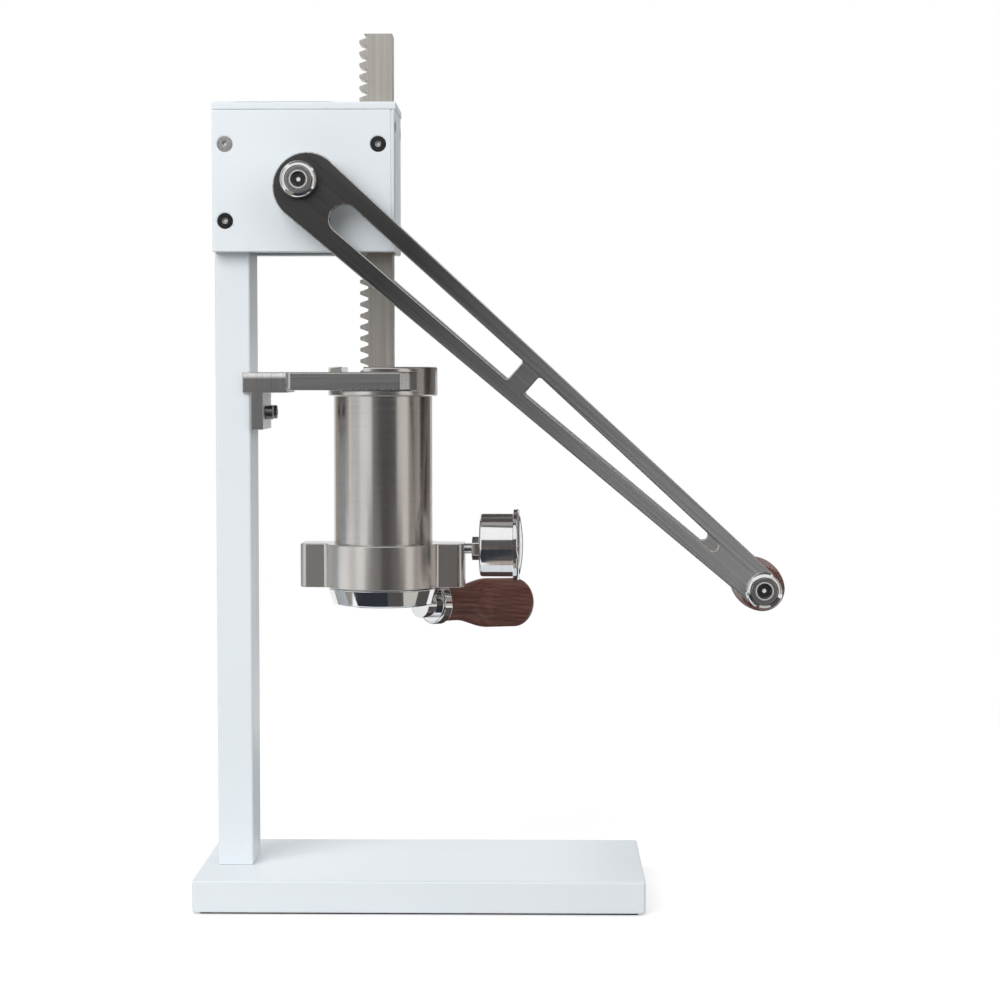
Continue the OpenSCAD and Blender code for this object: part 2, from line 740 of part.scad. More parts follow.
// The four bolts stand on the plates' outer faces, at the pivot and at the grip
module at_lever_bolts() {
    at_pivot() both_sides() for (s = [0, lever_len])
        translate([s, lever_out, 0]) rotate([-90, 0, 0]) children();
}
cap_floor = 2;
bolt_bite = 15;
tie_thread = bolt_bite + 10;
cap_recess_r = M10_LOW[1] / 2 + 0.5;
module lever_caps() {
    cap_r = cap_dia / 2;
    round_r = (cap_r - cap_recess_r) / 2;
    mid_r = cap_r - round_r;
    color(CHROME) at_lever_bolts() rotate_extrude() {
        translate([M10_LOW[0] / 2 + screw_fit, 0]) square([mid_r - M10_LOW[0] / 2 - screw_fit, cap_floor]);
        translate([cap_recess_r, 0]) square([2 * round_r, cap_thk - round_r]);
        translate([mid_r, cap_thk - round_r]) circle(round_r);
    }
}
module lever_bolts() {
    color(STEEL) at_lever_bolts() translate([0, 0, cap_floor])
        cap_screw(M10_LOW, cap_floor + lever_thk + bolt_bite);
}
module grip_tie_tube() {
    color(STEEL) at_pivot() translate([lever_len, 0, 0]) difference() {
        translate([0, lever_in, 0]) rotate([90, 0, 0]) cylinder(d = tie_dia, h = lever_gap);
        both_sides() translate([0, lever_in, 0]) rotate([-90, 0, 0]) screw_hole(M10_LOW, tie_thread);
    }
}
// The grip swells from its ends to its middle on one long arc
module grip_sleeve() {
    half = lever_in - 0.5;
    swell = (grip_dia - grip_end_dia) / 2;
    arc_r = (half * half + swell * swell) / (2 * swell);
    edge = 2;
    color(WALNUT) at_pivot() translate([lever_len, 0, 0]) rotate([-90, 0, 0])
        rotate_extrude() intersection() {
        translate([grip_dia / 2 - arc_r, 0]) circle(arc_r, $fn = 360);
        union() {
            translate([tie_dia / 2 + seat_fit, edge - half]) square([grip_dia, 2 * (half - edge)]);
            translate([tie_dia / 2 + seat_fit, -half])
                square([grip_end_dia / 2 - edge - tie_dia / 2 - seat_fit, 2 * half]);
            for (side = [-1, 1]) translate([grip_end_dia / 2 - edge, side * (half - edge)]) circle(edge);
        }
    }
}

// Rack and piston
module rack_outline() {
    half_root = tooth_pitch / 4 + 1.25 * gear_module * tan(pressure_angle);
    half_tip = tooth_pitch / 4 - gear_module * tan(pressure_angle);
    first = floor((rack_z0 - pivot_z) / tooth_pitch) - 1;
    last = ceil((rack_z1 - pivot_z) / tooth_pitch) + 1;
    teeth = [for (i = [first : last]) let (mid = pivot_z + (i + 0.5) * tooth_pitch) each [
        [rack_root_x, mid - half_root], [rack_tip_x, mid - half_tip],
        [rack_tip_x, mid + half_tip], [rack_root_x, mid + half_root]
    ]];
    end_z = pivot_z + (last + 1) * tooth_pitch;
    start_z = pivot_z + first * tooth_pitch;
    intersection() {
        polygon(concat(teeth, [[rack_root_x, end_z], [rack_back_x, end_z], [rack_back_x, start_z],
            [rack_root_x, start_z]]));
        translate([rack_tip_x - cut, rack_z0]) square([rack_back_x - rack_tip_x + 2 * cut, rack_len]);
    }
}
rod_pin_dia = 8;
rod_pin_len = 14;
rod_foot = 6;
module rack_bar() {
    color(STEEL) difference() {
        upright_plate(-rack_wid / 2, rack_wid) rack_outline();
        translate([cyl_x, 0, rack_z0 - cut])
            cylinder(r = rod_pin_dia / 2 + seat_fit, h = rod_pin_len + 2 * cut);
    }
}
module piston_rod() {
    color(STEEL) at_cylinder() difference() {
        union() {
            translate([0, 0, piston_z1 - rod_foot]) cylinder(d = rod_dia, h = rack_z0 - piston_z1 + rod_foot);
            translate([0, 0, rack_z0]) cylinder(d = rod_pin_dia, h = rod_pin_len);
        }
        translate([0, 0, piston_z0]) rotate([180, 0, 0]) screw_hole(M6, piston_screw_len + cut);
    }
}
piston_thread = 14;
piston_screw_len = piston_hgt - rod_foot + piston_thread;
seal_r = bore_r - 0.1 - seal_thk / 2;
seal_rows = [0.26, 0.66];
module piston() {
    groove_r = seal_r - seal_thk / 2 - seat_fit;
    groove_hgt = seal_thk + 0.4;
    hollow_in = rod_dia / 2 + 4;
    hollow_out = groove_r - 3;
    hollow_depth = piston_hgt * 0.4;
    color(STEEL) at_cylinder() difference() {
        translate([0, 0, piston_z0]) cylinder(r = bore_r - slide_gap, h = piston_hgt);
        for (row = seal_rows) translate([0, 0, piston_z0 + row * piston_hgt - groove_hgt / 2])
            ring(bore_r, groove_r, groove_hgt);
        translate([0, 0, piston_z1 - hollow_depth]) ring(hollow_out, hollow_in, hollow_depth + cut);
        translate([0, 0, piston_z1 - rod_foot]) cylinder(r = rod_dia / 2 + seat_fit, h = rod_foot + cut);
        translate([0, 0, piston_z0]) rotate([180, 0, 0]) csk_hole(M6, piston_hgt);
    }
}
module piston_seals() {
    color(RUBBER) at_cylinder() for (row = seal_rows) translate([0, 0, piston_z0 + row * piston_hgt])
        rotate_extrude() translate([seal_r, 0]) circle(d = seal_thk);
}
module piston_screw() {
    color(DARK_STEEL) at_cylinder() translate([0, 0, piston_z0]) rotate([180, 0, 0])
        csk_screw(M6, piston_screw_len);
}

// Clamp, forked arm and cylinder
module clamp_block() {
    clamp_half = post_wid / 2 + clamp_cheek;
    color(DARK_STEEL) difference() {
        union() {
            translate([post_x1 - clamp_hook, -clamp_half, clamp_bar_z0])
                cube([arm_x0 - post_x1 + clamp_hook, 2 * clamp_half, clamp_bar_hgt]);
            translate([post_x1, -clamp_half, clamp_leg_z0])
                cube([clamp_leg_thk, 2 * clamp_half, clamp_leg_hgt + cut]);
        }
        translate([post_x0, -post_wid / 2, clamp_leg_z0 - cut])
            cube([post_thk, post_wid, clamp_z1 - clamp_leg_z0 + 2 * cut]);
        at_clamp_screws() screw_hole(M5_CAP, clamp_screw_len + cut);
        at_arm_screws() screw_hole(M5_CAP, arm_screw_len + cut);
    }
}
module clamp_screws() {
    color(STEEL) at_clamp_screws() cap_screw(M5_CAP, clamp_screw_len);
}
module fork_arm() {
    chamfer = 2.5;
    half = arm_wid / 2;
    tine_x = cyl_x + tine_reach;
    throat = collar_neck / 2 + slide_gap;
    color(DARK_STEEL) difference() {
        translate([0, 0, arm_z0]) linear_extrude(arm_thk) difference() {
            polygon([
                [arm_x0, chamfer - half], [arm_x0 + chamfer, -half], [tine_x - tip_chamfer, -half],
                [tine_x, tip_chamfer - half], [tine_x, half - tip_chamfer], [tine_x - tip_chamfer, half],
                [arm_x0 + chamfer, half], [arm_x0, half - chamfer]
            ]);
            translate([cyl_x, -throat]) square([tine_reach + cut, 2 * throat]);
            intersection() {
                translate([cyl_x, 0]) circle(fork_r);
                translate([cyl_x - fork_r, -throat]) square([fork_r + cut, 2 * throat]);
            }
        }
        at_arm_screws() {
            screw_hole(M5_CAP, arm_screw_len + cut);
            cylinder(r = M5_CAP[1] / 2 + screw_fit, h = fork_r);
        }
    }
}
module arm_screws() {
    arm_cap = [M5_CAP[0], M5_CAP[1], arm_cap_hgt, M5_CAP[3]];
    color(STEEL) at_arm_screws() cap_screw(arm_cap, arm_screw_len);
}
arm_cap_hgt = 3.5;
module cylinder_collar() {
    edge = 0.8;
    room = 1;
    hole_x0 = rack_tip_x - room - cyl_x;
    hole_x1 = rack_back + room;
    hole_half = rack_wid / 2 + room;
    fill_x0 = -fill_off - fill_wid / 2;
    color(STEEL) at_cylinder() difference() {
        rotate_extrude() polygon([
            [0, collar_z0], [collar_r - edge, collar_z0], [collar_r, collar_z0 + edge],
            [collar_r, collar_z1 - edge], [collar_r - edge, collar_z1], [0, collar_z1]
        ]);
        both_sides() translate([-collar_dia, collar_neck / 2, arm_z0 - slide_gap])
            cube([collar_dia + groove_reach, collar_dia, arm_thk + slide_gap]);
        translate([fill_x0, -collar_dia, arm_z1]) cube([fill_wid, 2 * collar_dia, collar_rim + cut]);
        translate([fill_x0, -fill_len / 2, collar_z0 - cut])
            cube([hole_x0 - fill_x0 + cut, fill_len, collar_z1 - collar_z0 + 2 * cut]);
        translate([hole_x0, -hole_half, collar_z0 - cut])
            cube([hole_x1 - hole_x0, 2 * hole_half, collar_z1 - collar_z0 + 2 * cut]);
        translate([0, 0, collar_z0 - cut]) cylinder(r = tube_r + seat_fit, h = tube_seat + cut);
    }
}
module cylinder_tube() {
    color(STEEL) at_cylinder() translate([0, 0, shelf_z1]) ring(tube_r, bore_r, tube_z1 - shelf_z1);
}

// Group flange: a round body with two ears, whose hollow corners are arcs that touch both
module flange_outline() {
    fillet_y = ear_wid / 2 + ear_fillet;
    fillet_x = sqrt(pow(flange_r + ear_fillet, 2) - fillet_y * fillet_y);
    circle(flange_r);
    rounded_rect(ear_span, ear_wid, ear_corner);
    for (x = [0, 1], y = [0, 1]) mirror([x, 0]) mirror([0, y]) difference() {
        polygon([[0, 0], [fillet_x, 0], [fillet_x, fillet_y]]);
        translate([fillet_x, fillet_y]) circle(ear_fillet + edge_ease);
    }
}
seat_r = rim_r + bayonet_gap;
shelf_reach = 6;
shelf_open_r = bore_r - shelf_reach;
lug_lead = 90;
lock_mid = handle_turn - group_turn + lug_lead;
module group_flange() {
    channel_r = lug_r + bayonet_gap;
    port_dia = 2.5;
    riser_dia = 3;
    port_z = (shelf_z0 + shelf_z1) / 2;
    riser_x = ear_end - spigot_len - riser_dia;
    color(STEEL) at_group() difference() {
        translate([0, 0, flange_z0]) linear_extrude(flange_hgt) flange_outline();
        translate([0, 0, flange_z0 - cut]) cylinder(r = seat_r, h = shelf_z0 - flange_z0 + cut);
        translate([0, 0, flange_z0 + lip_thk])
            cylinder(r = channel_r, h = channel_top - flange_z0 - lip_thk);
        for (half_turn = [0, 180]) sector(seat_r - 1, channel_r, flange_z0 - cut, channel_top,
            lock_mid - lock_turn + half_turn, lug_arc + 6);
        translate([0, 0, shelf_z0 - cut]) cylinder(r = shelf_open_r, h = shelf_thk + 2 * cut);
        translate([0, 0, shelf_z1]) cylinder(r = tube_r + seat_fit, h = tube_sink + cut);
        translate([ear_end - spigot_len - cut, 0, gauge_z]) rotate([0, 90, 0])
            cylinder(r = spigot_dia / 2 + seat_fit, h = spigot_len + 2 * cut);
        translate([riser_x, 0, gauge_z]) rotate([0, 90, 0]) cylinder(d = port_dia, h = spigot_len);
        translate([riser_x, 0, port_z]) cylinder(d = riser_dia, h = gauge_z - port_z);
        translate([shelf_open_r - cut, 0, port_z]) rotate([0, 90, 0])
            cylinder(d = port_dia, h = riser_x - shelf_open_r + cut);
    }
}
gasket_step = 4.5;
gasket_in = shelf_open_r + gasket_step;
module group_gasket() {
    color(RUBBER) at_cylinder() translate([0, 0, gasket_z0])
        ring(seat_r - seat_fit, gasket_in, gasket_thk);
}
module shower_screen() {
    rows = 3;
    hole_step = (gasket_in - 4) / rows;
    color(CHROME) at_cylinder() difference() {
        translate([0, 0, shelf_z0 - screen_thk]) cylinder(r = gasket_in - seat_fit, h = screen_thk);
        for (row = [0 : rows], i = [0 : max(1, 6 * row) - 1]) rotate([0, 0, i * 60 / max(1, row)])
            translate([row * hole_step, 0, shelf_z0 - screen_thk - cut])
                cylinder(d = 2, h = screen_thk + 2 * cut, $fn = 24);
    }
}

// Pressure gauge, drawn along its own axis
module gauge_fitting() {
    nut_x0 = gauge_reach - nut_len;
    color(CHROME) at_fitting() difference() {
        union() {
            translate([0, 0, ear_end - spigot_len])
                cylinder(d = spigot_dia, h = nut_x0 - ear_end + spigot_len);
            translate([0, 0, nut_x0]) cylinder(d = nut_wid / cos(30), h = nut_len, $fn = 6);
            translate([0, 0, gauge_reach]) cylinder(d = tail_dia, h = case_wall);
        }
        translate([0, 0, ear_end - spigot_len - cut])
            cylinder(d = 2, h = gauge_reach - ear_end + spigot_len + case_wall + 2 * cut);
    }
}
module gauge_case() {
    back_r = 2;
    color(CHROME) at_gauge() difference() {
        rotate_extrude() {
            translate([0, gauge_reach]) square([case_r - back_r, back_r]);
            translate([0, gauge_reach + back_r]) square([case_r, glass_x0 - gauge_reach - back_r]);
            translate([case_r - back_r, gauge_reach + back_r]) circle(back_r);
        }
        translate([0, 0, gauge_reach + case_wall]) cylinder(r = ledge_r, h = case_len + bezel_len);
        translate([0, 0, dial_x0]) cylinder(r = dial_r + seat_fit, h = case_len);
        translate([dial_lift, 0, gauge_reach - cut])
            cylinder(r = tail_dia / 2 + seat_fit, h = case_wall + 2 * cut);
    }
}
movement_len = 9;
movement_dia = 18;
module gauge_movement() {
    color(BRONZE) at_gauge() difference() {
        translate([0, 0, gauge_reach + case_wall]) cylinder(d = movement_dia, h = movement_len);
        translate([0, 0, gauge_reach + case_wall + 2])
            cylinder(r = spindle_dia / 2 + run_fit, h = movement_len);
    }
}
module gauge_dial() {
    color("white") at_gauge() translate([0, 0, dial_x0]) ring(dial_r, spindle_dia / 2 + run_fit, dial_thk);
}
module gauge_glass() {
    dome_room = 0.15;
    dome_half = case_r - bezel_lip - dome_room;
    dome_r = (pow(dome_half + glass_thk, 2) + dome_hgt * dome_hgt) / (2 * dome_hgt);
    reach = bezel_front + dome_hgt - glass_x0;
    module dome(half, r) {
        intersection() {
            translate([0, reach - dome_r]) circle(r, $fn = 360);
            translate([0, -cut]) square([half, reach + 2 * cut]);
        }
    }
    color("#dfeaf0", 0.35) at_gauge() translate([0, 0, glass_x0]) rotate_extrude() difference() {
        union() {
            square([case_r, glass_thk]);
            intersection() {
                dome(dome_half, dome_r);
                square([case_r, 2 * reach]);
            }
        }
        dome(dome_half - glass_thk, dome_r - glass_thk);
    }
}
module gauge_bezel() {
    bezel_r = bezel_dia / 2;
    edge_r = 2;
    color(CHROME) at_gauge() difference() {
        rotate_extrude() {
            translate([0, case_front]) square([bezel_r, bezel_len - edge_r]);
            translate([0, case_front]) square([bezel_r - edge_r, bezel_len]);
            translate([bezel_r - edge_r, bezel_front - edge_r]) circle(edge_r);
        }
        translate([0, 0, case_front - cut]) cylinder(r = case_r + seat_fit, h = glass_x1 - case_front + cut);
        translate([0, 0, case_front]) cylinder(r = case_r - bezel_lip, h = bezel_len + cut);
    }
}
// The pointer rests at zero, down and to the left as the dial is read
needle_zero = 45;
module gauge_needle() {
    hub_r = 2.4;
    hub_len = 1.4;
    color(RUBBER) at_gauge() {
        translate([0, 0, gauge_reach + case_wall + 3])
            cylinder(d = spindle_dia, h = needle_x0 - gauge_reach - case_wall - 3);
        translate([0, 0, needle_x0]) cylinder(r = hub_r, h = hub_len);
        translate([0, 0, needle_x0 + 0.3]) rotate([0, 0, -needle_zero]) linear_extrude(0.7) polygon([
            [-5.5, -1.3], [0, -0.9], [needle_len, -0.25], [needle_len, 0.25], [0, 0.9], [-5.5, 1.3]
        ]);
    }
}

// Portafilter
module portafilter_ring() {
    edge_r = 2;
    top_band = 1;
    neck_r = neck_dia / 2;
    neck_l0 = bore_half - ring_r - neck_r / 3;
    edge_x = ring_r - ring_taper - edge_r;
    run = [ring_taper + edge_r, ring_hgt - top_band - edge_r];
    lean = acos(edge_r / norm(run)) - atan2(run[1], run[0]);
    foot = (edge_r - edge_ease) * [cos(lean), -sin(lean)];
    color(CHROME) difference() {
        union() {
            at_portafilter() {
                rotate_extrude() {
                    polygon([
                        [0, ring_z0], [edge_x, ring_z0], [edge_x, ring_z0 + edge_r] + foot,
                        [ring_r, ring_z1 - top_band], [ring_r, ring_z1], [0, ring_z1]
                    ]);
                    translate([edge_x, ring_z0 + edge_r]) circle(edge_r);
                    translate([0, ring_z1 - cut]) square([rim_r, rim_z1 - ring_z1 + cut]);
                }
                for (side = [lug_lead, lug_lead + 180])
                    sector(rim_r - 1, lug_r, lug_z0, lug_z0 + lug_thk, side, lug_arc);
            }
            at_handle() translate([0, 0, neck_l0]) cylinder(r = neck_r, h = neck_len - neck_l0);
        }
        at_portafilter() {
            translate([0, 0, ring_z0 - neck_dia])
                cylinder(r = bore_half, h = rim_z1 - ring_z0 + neck_dia + cut);
            translate([0, 0, spring_z - spring_room])
                cylinder(r = spring_r + spring_room, h = 2 * spring_room);
        }
        at_handle() translate([0, 0, stud_l0 - cut])
            cylinder(r = stud_dia / 2 + seat_fit, h = neck_len - stud_l0 + 2 * cut);
    }
}
spring_z = (ring_z1 + rim_z1) / 2;
spring_wire_r = 0.6;
spring_r = bore_half + 0.2;
spring_room = spring_wire_r + 0.1;
module basket_spring() {
    color(STEEL) at_cylinder() translate([0, 0, spring_z]) rotate_extrude()
        translate([spring_r, 0]) circle(spring_wire_r);
}
module filter_basket() {
    lip_r = rim_r - 0.4;
    color(CHROME) at_cylinder() translate([0, 0, rim_z1]) rotate_extrude() {
        translate([0, -basket_hgt]) square([basket_r, basket_lip]);
        translate([basket_r - basket_wall, -basket_hgt]) square([basket_wall, basket_hgt + basket_lip]);
        translate([basket_r - basket_wall, 0]) square([lip_r - basket_r + basket_wall, basket_lip]);
    }
}
module handle_ferrule() {
    edge_r = 1.5;
    ferrule_r = ferrule_dia / 2;
    hole_r = stud_dia / 2 + seat_fit;
    color(CHROME) at_handle() rotate_extrude() {
        translate([hole_r, neck_len]) square([ferrule_r - edge_r - hole_r, ferrule_len]);
        translate([hole_r, neck_len + edge_r]) square([ferrule_r - hole_r, ferrule_len - 2 * edge_r]);
        for (z = [neck_len + edge_r, wood_l0 - edge_r])
            translate([ferrule_r - edge_r, z]) circle(edge_r);
    }
}
module handle_stud() {
    color(STEEL) at_handle() translate([0, 0, stud_l0]) cylinder(d = stud_dia, h = stud_l1 - stud_l0);
}
// The handle draws in behind the ferrule, swells to its bulge and rounds off at the end
function ease(t) = t * t * (3 - 2 * t);
function clamp01(t) = max(0, min(1, t));
waist_at = 0.19;
bulge_at = 0.56;
mouth_flare = 0.3;
function handle_r(u) = waist_dia / 2 + mouth_flare * (1 - ease(clamp01(u / waist_at)))
    + (bulge_dia - waist_dia) / 2 * ease(clamp01((u - waist_at) / (bulge_at - waist_at)));
module wooden_handle() {
    end_r = bulge_dia * 0.25;
    bulge_r = bulge_dia / 2;
    steps = 28;
    body_len = handle_len - end_r;
    hole_r = stud_dia / 2 + seat_fit;
    color(WALNUT) at_handle() difference() {
        translate([0, 0, wood_l0]) rotate_extrude() {
            polygon(concat([[0, 0]], [for (i = [0 : steps]) let (z = body_len * i / steps)
                [handle_r(z / handle_len), z]], [[0, body_len]]));
            translate([0, body_len - cut]) square([bulge_r - end_r, end_r + cut]);
            intersection() {
                translate([bulge_r - end_r, body_len]) circle(end_r);
                translate([0, body_len - cut]) square([bulge_r, end_r + cut]);
            }
        }
        translate([0, 0, wood_l0 - cut]) cylinder(r = hole_r, h = stud_l1 - wood_l0 + 2 * cut);
    }
}

base_plate();
base_mat();
base_screws();
post();
post_foot_plug();
head_side_front();
head_side_rear();
head_top_plate();
head_front_cover();
head_side_screws();
head_cover_screws();
shaft_bushes();
rack_guides();
clamp_block();
clamp_screws();
fork_arm();
arm_screws();
cylinder_collar();
cylinder_tube();
group_flange();
group_gasket();
shower_screen();
gauge_fitting();
gauge_case();
gauge_movement();
gauge_dial();
gauge_glass();
gauge_bezel();
gauge_needle();
pinion_shaft();
pinion_gear();
pinion_key();
lever_spacers();
lever_plate_front();
lever_plate_rear();
lever_caps();
lever_bolts();
grip_tie_tube();
grip_sleeve();
rack_bar();
piston_rod();
piston();
piston_seals();
piston_screw();
portafilter_ring();
basket_spring();
filter_basket();
handle_ferrule();
handle_stud();
wooden_handle();
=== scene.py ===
"""Looks of a lever espresso machine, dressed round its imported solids.

The solids give every piece its place and size. This script models the pieces that show most again, with
finer curves and eased edges, gives every piece its finish, and sets up the studio and the camera.
All lengths are in metres, in the frame of the solids: Z is up, and the origin is under the base's centre.
"""

from __future__ import annotations

import json
import logging
import math
from abc import ABC, abstractmethod
from dataclasses import dataclass, field
from enum import Enum
from typing import ClassVar, Iterable, Sequence

import bpy
from mathutils import Euler, Matrix, Vector

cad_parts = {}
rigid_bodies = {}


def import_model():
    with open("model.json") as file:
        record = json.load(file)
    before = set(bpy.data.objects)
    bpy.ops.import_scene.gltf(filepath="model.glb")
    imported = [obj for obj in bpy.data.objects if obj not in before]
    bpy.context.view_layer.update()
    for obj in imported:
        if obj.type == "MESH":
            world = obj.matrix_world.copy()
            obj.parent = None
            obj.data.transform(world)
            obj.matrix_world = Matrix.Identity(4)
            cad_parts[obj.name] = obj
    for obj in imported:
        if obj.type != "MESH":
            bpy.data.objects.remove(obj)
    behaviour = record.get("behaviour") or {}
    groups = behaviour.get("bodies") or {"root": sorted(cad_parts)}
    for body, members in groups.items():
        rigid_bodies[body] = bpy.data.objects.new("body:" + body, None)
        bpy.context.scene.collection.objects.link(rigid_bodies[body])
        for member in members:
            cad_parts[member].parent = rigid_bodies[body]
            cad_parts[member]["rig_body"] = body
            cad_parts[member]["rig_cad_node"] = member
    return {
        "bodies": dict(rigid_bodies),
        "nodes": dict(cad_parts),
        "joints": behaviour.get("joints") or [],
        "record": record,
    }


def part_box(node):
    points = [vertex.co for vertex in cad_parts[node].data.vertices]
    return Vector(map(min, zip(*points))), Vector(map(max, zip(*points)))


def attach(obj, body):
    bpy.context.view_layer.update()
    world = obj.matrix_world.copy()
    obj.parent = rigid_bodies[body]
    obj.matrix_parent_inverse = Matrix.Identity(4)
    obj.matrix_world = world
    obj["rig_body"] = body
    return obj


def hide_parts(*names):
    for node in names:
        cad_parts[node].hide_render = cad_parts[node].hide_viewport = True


LOG = logging.getLogger("espresso_machine")
MM = 0.001
ORIGIN = Vector((0.0, 0.0, 0.0))
RIGHT = Vector((1.0, 0.0, 0.0))
ACROSS = Vector((0.0, 1.0, 0.0))
UP = Vector((0.0, 0.0, 1.0))
# Nearly all values of a noise lie between these two
NOISE_LOW, NOISE_HIGH = 0.3, 0.7
ARC_STEPS, SMALL_ARC_STEPS = 8, 4

Point = tuple[float, float]
Profile = Sequence[Point]
Colour = tuple[float, float, float]
Stops = Iterable[tuple[float, Colour]]
Item = bpy.types.Object
Socket = bpy.types.NodeSocket
Owner = bpy.types.Material | bpy.types.World


def grey(level: float) -> Colour:
    """A grey of the given level."""
    return (level, level, level)


def dimmed(colour: Colour, share: float) -> Colour:
    """A colour at a share of its level."""
    return tuple(share * part for part in colour)


def arc(centre: Point, radius: float, start: float, end: float, steps: int = ARC_STEPS) -> list[Point]:
    """Points on an arc of a turned profile.

    Args:
        centre: The arc's middle, as (radius, distance along the axis).
        radius: The arc's own radius.
        start: Angle of its first point in degrees, from straight outwards towards the axis's far end.
        end: Angle of its last point.
        steps: Steps from one to the other.

    Returns:
        The points, with both ends.
    """
    turns = [math.radians(start + (end - start) * step / steps) for step in range(steps + 1)]
    return [(centre[0] + radius * math.cos(turn), centre[1] + radius * math.sin(turn)) for turn in turns]


class Body(Enum):
    """The bodies that pieces ride on."""

    FRAME = "frame"
    LEVER = "lever"
    RACK = "rack"
    PORTAFILTER = "portafilter"


class Slot(Enum):
    """The record's material slots."""

    PAINT = "white_paint"
    LEVER = "lever_steel"
    ARM = "arm_steel"
    CYLINDER = "cylinder_steel"
    RACK = "rack_steel"
    PLAIN = "plain_steel"
    SCREW = "screw_steel"
    POLISHED = "polished_steel"
    CHROME = "chrome"
    BRONZE = "bronze"
    RUBBER = "black_rubber"
    WALNUT = "walnut"
    DIAL = "dial_white"
    NEEDLE = "needle_black"
    GLASS = "clear_glass"


@dataclass(frozen=True)
class Line:
    """A straight axis that pieces are turned about."""

    origin: Vector
    direction: Vector
    steep: ClassVar[float] = 0.9

    def at(self, distance: float) -> Vector:
        """The point at a distance along the axis."""
        return self.origin + self.direction * distance

    def side(self) -> Vector:
        """A unit vector square to the axis."""
        other = UP if abs(self.direction.dot(UP)) < self.steep else RIGHT
        return self.direction.cross(other).normalized()

    def euler(self) -> Euler:
        """The turn that takes the X axis to this one, with the Z axis as near upright as it can be.

        Returns:
            The turn.
        """
        across = self.side()
        rows = (self.direction, -across, self.direction.cross(-across))
        return Matrix(rows).transposed().to_euler()


